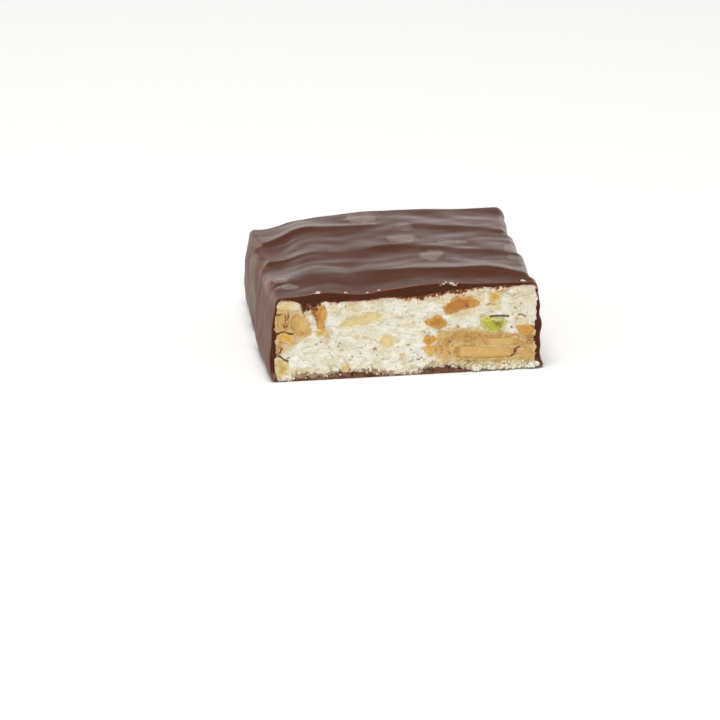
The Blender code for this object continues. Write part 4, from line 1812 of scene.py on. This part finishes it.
        smear = between(0.05, -0.05, under_top - reach)
        fringe = between(0.5, 0.1, under_top - 1.15 * reach - 0.35 * shreds)
        fringe *= np.clip(0.35 + 0.8 * strength, 0, 0.9)
        foot = over_foot + 0.9 * shreds + 0.5 * drifts
        foot = read_curve(self.foot_smear, x) * between(0.62, 0.42, foot)
        # pore and crack are painted shade in the pits and cracks
        marks = {
            "cream": cream, "nut_stain": np.clip(np.maximum(nut_stain, 0.9 * tint), 0, 1),
            "fringe": np.clip(np.maximum(fringe, 0.4 * tint), 0, 0.85), "foot": np.clip(foot, 0, 0.74),
            "smear": np.clip(smear, 0, 0.95), "pore": np.clip(0.85 * pore, 0, 1),
            "crack": np.clip(crack_shade, 0, 0.9),
        }
        return depth, marks

    def pores(self, flat: Array, spot: Array) -> Array:
        """Sow the air pores, thickly where the nougat tore open.

        Args:
            flat: Rows of (x, z) over the cut.
            spot: The same points as (x, y, z) for noise.

        Returns:
            How deep in a pore each point is, from 0 to 1.
        """
        crowd = self.pore_crowd + sum(
            place.strength * np.exp(-(place.away(*flat.T) ** 2)) for place in self.pore_fields
        )
        pits = self.pits.at(spot)
        rarer = self.pore_start - self.pore_crowding * np.minimum(crowd, 1.0)
        return ease((pits - rarer) / 0.2)

    def build(self) -> bpy.types.Object:
        """Build the filling, hang it on the bar's body and hide the imported nougat.

        Returns:
            The filling.
        """
        shape = self.shape
        x, z, under_top, over_foot = self.cut_plan()
        flat = rows(x, z)
        spot = rows(x, 0.0, z)
        depth, marks = self.relief(flat, spot, under_top, over_foot)
        front = rows(x, shape.cut_y + depth, z)
        faces = grid_faces(self.levels, self.columns, closed=False)
        ids = np.arange(self.levels * self.columns).reshape(self.levels, self.columns)
        border = np.concatenate([ids[0, :-1], ids[:-1, -1], ids[-1, :0:-1], ids[:0:-1, 0]])
        count = len(border)
        rings: list[Array] = []
        for behind in self.body_rows:
            y = np.full(count, shape.cut_y + behind)
            ring = front[border].copy()
            inward = np.array([0.0, 0.0, shape.height / 2]) - ring
            ring += inward * self.taper
            low = ring[:, 2] < 2.0
            ring[low, 2] = np.maximum(ring[low, 2], self.body_floor)
            ceiling = shape.filling_top(ring[:, 0], y) - self.body_gap
            ring[:, 2] = np.minimum(ring[:, 2], ceiling)
            ring[:, 1] = y
            rings.append(ring)
        points = np.vstack([front, *rings, rings[-1].mean(axis=0)])
        loops = [border] + [len(front) + count * k + np.arange(count) for k in range(len(rings))]
        for near_loop, far_loop in zip(loops, loops[1:]):
            for place in range(count):
                after = (place + 1) % count
                faces.append((near_loop[place], far_loop[place], far_loop[after], near_loop[after]))
        last, pole = loops[-1], len(points) - 1
        faces.extend((last[(place + 1) % count], last[place], pole) for place in range(count))
        extra = len(points) - len(front)
        marks = {name: np.concatenate([value, np.zeros(extra)]) for name, value in marks.items()}
        piece = make_piece("nougat_filling", points, faces, marks, self.finish.make())
        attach(piece, "root")
        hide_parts("nougat")
        return piece


# Crumbs


@dataclass(frozen=True)
class CrumbPlace:
    """A stretch where crumbs lie: its ends as (x, z), spread, how many and their sizes."""

    start: tuple[float, float]
    stop: tuple[float, float]
    spread: float
    count: int
    smallest: float
    largest: float
    forward: float = 0.05  # how far in front of the cut they lie


NOUGAT_CRUMBS = (
    CrumbPlace((12.0, 0.7), (23.6, 0.8), 0.25, 46, 0.18, 0.55),
    CrumbPlace((-22.5, 0.7), (3.0, 0.9), 0.2, 26, 0.08, 0.24),
    CrumbPlace((8.0, 1.5), (22.5, 1.4), 0.35, 30, 0.1, 0.3),
)
# On the front edge of the coat
NOUGAT_FLECKS = (
    CrumbPlace((-16.4, 16.5), (-15.4, 16.62), 0.08, 5, 0.14, 0.24, 0.0),
    CrumbPlace((-11.3, 16.3), (-10.5, 16.25), 0.06, 3, 0.12, 0.18, 0.0),
    CrumbPlace((-7.2, 16.2), (-6.9, 16.2), 0.05, 2, 0.08, 0.12, 0.0),
    CrumbPlace((-5.3, 16.4), (-4.8, 16.5), 0.08, 3, 0.08, 0.12, 0.0),
    CrumbPlace((20.5, 16.95), (21.1, 16.9), 0.06, 4, 0.13, 0.2, 0.0),
    CrumbPlace((6.4, 17.2), (8.6, 16.8), 0.34, 26, 0.05, 0.12),
    CrumbPlace((7.9, 17.2), (8.7, 16.8), 0.16, 5, 0.13, 0.22),
)
ALMOND_CRUMBS = (
    CrumbPlace((8.5, 7.2), (13.5, 6.9), 0.5, 40, 0.08, 0.22),
    CrumbPlace((10.5, 5.7), (15.0, 7.0), 0.4, 22, 0.08, 0.26),
    CrumbPlace((5.8, 4.5), (8.0, 6.8), 0.5, 36, 0.08, 0.22),
    CrumbPlace((21.8, 4.6), (22.6, 7.6), 0.45, 26, 0.1, 0.26),
    CrumbPlace((9.0, 2.1), (22.0, 1.7), 0.3, 34, 0.08, 0.22),
)
CHOCOLATE_CRUMBS = (
    CrumbPlace((-18.0, 0.7), (-5.0, 0.9), 0.2, 14, 0.08, 0.24),
    CrumbPlace((-17.8, 13.6), (-15.4, 13.5), 0.3, 20, 0.06, 0.18),
    CrumbPlace((6.4, 17.1), (8.7, 16.8), 0.34, 22, 0.07, 0.17),
    CrumbPlace((3.0, 0.9), (11.0, 0.9), 0.25, 24, 0.06, 0.18),
)


@dataclass
class Crumbs:
    """Loose crumbs of one kind, scattered by Geometry Nodes over given stretches."""

    name: str
    slot: str
    material: bpy.types.Material
    cut_y: float
    places: Sequence[CrumbPlace]
    marks: dict[str, float]
    seed: int = 1
    roughen: float = 0.55
    flatness: float = 0.7
    length: float = 1.0
    width: float = 0.85
    grit: float = 0.22  # size of the lumps that roughen a crumb
    turn: float = math.tau  # the most that a crumb is turned about each axis

    def seeds(self) -> bpy.types.Object:
        """Lay the crumbs' middles as loose points that carry their size.

        Returns:
            An object of nothing but points.
        """
        draw = random.Random(self.seed)
        points: list[tuple[float, float, float]] = []
        sizes: list[float] = []
        for place in self.places:
            for _ in range(place.count):
                share = draw.random()
                x = place.start[0] + (place.stop[0] - place.start[0]) * share
                z = place.start[1] + (place.stop[1] - place.start[1]) * share
                x += draw.gauss(0, place.spread)
                z += draw.gauss(0, place.spread * 0.6)
                size = place.smallest + (place.largest - place.smallest) * draw.random() ** 2
                y = self.cut_y - place.forward + draw.uniform(-0.3, 0.3) * size
                points.append((x * MILLIMETRE, y * MILLIMETRE, max(z, size) * MILLIMETRE))
                sizes.append(size)
        mesh = bpy.data.meshes.new(f"{self.name}_seeds")
        mesh.from_pydata(points, [], [])
        layer = mesh.attributes.new("size", "FLOAT", "POINT")
        layer.data.foreach_set("value", sizes)
        host = bpy.data.objects.new(f"{self.name}_seeds", mesh)
        bpy.context.scene.collection.objects.link(host)
        return host

    def tree(self) -> Tree:
        """Build the node tree that grows a crumb on each point.

        Returns:
            The tree, with its inputs named.
        """
        tree = bpy.data.node_groups.new(f"{self.name}_growth", "GeometryNodeTree")
        face = tree.interface
        face.new_socket("Seeds", in_out="INPUT", socket_type="NodeSocketGeometry")
        for label in ("Unit", "Roughness", "Flatness"):
            face.new_socket(label, in_out="INPUT", socket_type="NodeSocketFloat")
        face.new_socket("Crumbs", in_out="OUTPUT", socket_type="NodeSocketGeometry")
        given = add_node(tree, "NodeGroupInput").outputs
        lump = add_node(
            tree, "GeometryNodeMeshIcoSphere", {"Radius": given["Unit"], "Subdivisions": 2}
        ).outputs[0]
        dots = add_node(tree, "GeometryNodeMeshToPoints", {"Mesh": given["Seeds"]}).outputs[0]
        spin = add_node(
            tree, "FunctionNodeRandomValue",
            {"Max": (self.turn, self.turn, self.turn), "Seed": self.seed}, data_type="FLOAT_VECTOR",
        ).outputs[0]
        squash = add_node(
            tree, "ShaderNodeCombineXYZ", {0: self.length, 1: given["Flatness"], 2: self.width}
        ).outputs[0]
        size = add_node(
            tree, "GeometryNodeInputNamedAttribute", {"Name": "size"}, data_type="FLOAT"
        ).outputs[0]
        scale = add_node(
            tree, "ShaderNodeVectorMath", {0: squash, "Scale": size}, operation="SCALE"
        ).outputs[0]
        grown = add_node(
            tree, "GeometryNodeInstanceOnPoints",
            {"Points": dots, "Instance": lump, "Rotation": spin, "Scale": scale},
        ).outputs[0]
        real = add_node(tree, "GeometryNodeRealizeInstances", {"Geometry": grown}).outputs[0]
        where = add_node(tree, "GeometryNodeInputPosition").outputs[0]
        noise_value = add_node(
            tree, "ShaderNodeTexNoise",
            {"Vector": where, "Scale": 1 / (self.grit * MILLIMETRE), "Detail": 2.0},
        ).outputs["Color"]
        centred = add_node(
            tree, "ShaderNodeVectorMath", {0: noise_value, 1: (0.5, 0.5, 0.5)}, operation="SUBTRACT"
        ).outputs[0]
        amount = add_node(
            tree, "ShaderNodeMath", {0: given["Unit"], 1: given["Roughness"]}, operation="MULTIPLY"
        ).outputs[0]
        push = add_node(
            tree, "ShaderNodeVectorMath", {0: centred, "Scale": amount}, operation="SCALE"
        ).outputs[0]
        torn = add_node(tree, "GeometryNodeSetPosition", {"Geometry": real, "Offset": push}).outputs[0]
        dressed = add_node(
            tree, "GeometryNodeSetMaterial", {"Geometry": torn, "Material": self.material}
        ).outputs[0]
        add_node(tree, "NodeGroupOutput", {0: dressed})
        return tree

    def build(self) -> bpy.types.Object:
        """Grow the crumbs, turn them into a plain mesh and hang them on the bar's body.

        Returns:
            The crumbs as one piece.
        """
        host = self.seeds()
        growth = host.modifiers.new("growth", "NODES")
        growth.node_group = self.tree()
        values = {"Unit": MILLIMETRE, "Roughness": self.roughen, "Flatness": self.flatness}
        for item in growth.node_group.interface.items_tree:
            if item.in_out == "INPUT" and item.name in values:
                growth[item.identifier] = values[item.name]
        graph = bpy.context.evaluated_depsgraph_get()
        mesh = bpy.data.meshes.new_from_object(host.evaluated_get(graph))
        mesh.name = self.name
        mesh.shade_smooth()
        for mark, value in self.marks.items():
            layer = mesh.attributes.new(mark, "FLOAT", "POINT")
            layer.data.foreach_set("value", np.full(len(mesh.vertices), value, np.float32))
        piece = bpy.data.objects.new(self.name, mesh)
        bpy.context.scene.collection.objects.link(piece)
        bpy.data.objects.remove(host)
        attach(piece, "root")
        return piece


# The studio


@dataclass
class Studio:
    """A plain pale floor, soft light all round and the camera."""

    floor_size: float = 4000.0
    camera_azimuth: float = -8.17
    camera_elevation: float = 22.0
    camera_distance: float = 553.5
    camera_target: tuple[float, float, float] = (-5.47, 0.0, -4.72)
    lens: float = 150.0
    # Brightness of the light dome by height, from the horizon (0) to straight up (1)
    dome: Curve = (
        (0.0, 1.3), (0.12, 1.25), (0.2, 1.08), (0.3, 0.74), (0.375, 0.52), (0.5, 0.41), (0.62, 0.32),
        (0.74, 0.19), (0.87, 0.06), (1.0, 0.2),
    )

    def build(self) -> None:
        """Build the floor, the light and the camera."""
        self.build_floor()
        self.build_light()
        self.build_camera()

    def build_floor(self) -> None:
        """Lay a seamless white paper floor."""
        half = self.floor_size / 2
        corners = np.array([(-half, -half, 0), (half, -half, 0), (half, half, 0), (-half, half, 0)])
        material, tree, output = new_material("studio_paper_white_matt")
        shader = add_node(
            tree, "ShaderNodeBsdfPrincipled",
            {"Base Color": linear("#F7F7F5"), "Roughness": 0.9, "Specular IOR Level": 0.1},
        )
        tree.links.new(shader.outputs[0], output.inputs[0])
        floor = make_piece("studio_floor", corners, [(0, 1, 2, 3)], {}, material)

    def build_light(self) -> None:
        """Surround the bar with a soft dome and add one large lamp high in front."""
        world = bpy.data.worlds.new("studio_dome")
        bpy.context.scene.world = world
        world.use_nodes = True
        tree = world.node_tree
        tree.nodes.clear()
        place = add_node(tree, "ShaderNodeTexCoord").outputs["Generated"]
        height = add_node(tree, "ShaderNodeSeparateXYZ", {0: place}).outputs["Z"]
        ramp = add_node(tree, "ShaderNodeValToRGB", {"Fac": height})
        stops = ramp.color_ramp.elements
        for step, (where, value) in enumerate(self.dome):
            stop = stops[step] if step < 2 else stops.new(where)
            stop.position = where
            stop.color = (value / 2, value / 2, value / 2, 1.0)
        sky = add_node(
            tree, "ShaderNodeBackground", {"Color": ramp.outputs["Color"], "Strength": 2.0}
        ).outputs[0]
        add_node(tree, "ShaderNodeOutputWorld", {0: sky})
        self.add_lamp("key_softbox", (-100.0, -220.0, 1100.0), 600.0, 11.5)
        view = bpy.context.scene.view_settings
        view.view_transform = "Standard"

    def add_lamp(self, name: str, place: tuple[float, float, float], size: float, power: float) -> None:
        """Hang a square lamp that faces the bar.

        Args:
            name: The lamp's name.
            place: Where its middle is.
            size: Its side.
            power: Its power in watts.
        """
        lamp = bpy.data.lights.new(name, "AREA")
        lamp.size = size * MILLIMETRE
        lamp.energy = power
        holder = bpy.data.objects.new(name, lamp)
        holder.location = Vector(place) * MILLIMETRE
        holder.rotation_euler = Vector(place).to_track_quat("Z", "Y").to_euler()
        bpy.context.scene.collection.objects.link(holder)

    def build_camera(self) -> None:
        """Set the camera by its direction round the bar."""
        azimuth, elevation = math.radians(self.camera_azimuth), math.radians(self.camera_elevation)
        back = Vector(
            (
                math.sin(azimuth) * math.cos(elevation), -math.cos(azimuth) * math.cos(elevation),
                math.sin(elevation),
            )
        )
        data = bpy.data.cameras.new("camera")
        data.lens = self.lens
        data.sensor_width = 36.0
        data.clip_start, data.clip_end = 0.01, 50.0
        camera = bpy.data.objects.new("camera", data)
        place = Vector(self.camera_target) + back * self.camera_distance
        camera.location = place * MILLIMETRE
        camera.rotation_euler = back.to_track_quat("Z", "Y").to_euler()
        bpy.context.scene.collection.objects.link(camera)
        bpy.context.scene.camera = camera


def report(piece: bpy.types.Object) -> None:
    """Say that a piece is done and how many faces it has."""
    LOG.info("built %s: %d faces", piece.name, len(piece.data.polygons))


def main() -> None:
    """Build the bar piece by piece, then the studio, and note the sizes."""
    logging.basicConfig(level=logging.INFO, format="%(name)s: %(message)s")
    shape = BarShape.from_frame()
    coat = ChocolateCoat(shape, SatinChocolate(), CutChocolate())
    report(coat.build())
    filling = NougatFilling(shape, coat, AeratedNougat())
    report(filling.build())
    for finish in NUT_FINISHES.values():
        finish.make()
    for seed, nut in enumerate(NUTS):
        report(NutPiece(nut, shape.cut_y, NUT_FINISHES[nut.kind], seed=seed).build())
    materials = bpy.data.materials
    white = materials[filling.finish.name]
    almond = materials[NUT_FINISHES[NutKind.ALMOND].name]
    brown = materials[coat.cut_finish.name]
    for crumbs in (
        Crumbs("nougat_crumbs", "nougat", white, shape.cut_y, NOUGAT_CRUMBS, {"cream": 0.12}, seed=4),
        Crumbs(
            "nougat_flecks", "nougat", white, shape.cut_y, NOUGAT_FLECKS,
            {"cream": 0.25, "fringe": 0.12}, seed=6, flatness=0.6, length=1.9, turn=0.5,
        ),
        Crumbs("almond_crumbs", "almond", almond, shape.cut_y, ALMOND_CRUMBS, {"tone": -0.1}, seed=5),
        Crumbs("chocolate_crumbs", "chocolate", brown, shape.cut_y, CHOCOLATE_CRUMBS, {}, seed=6),
    ):
        report(crumbs.build())
    Studio().build()


if __name__ == "__main__":
    main()
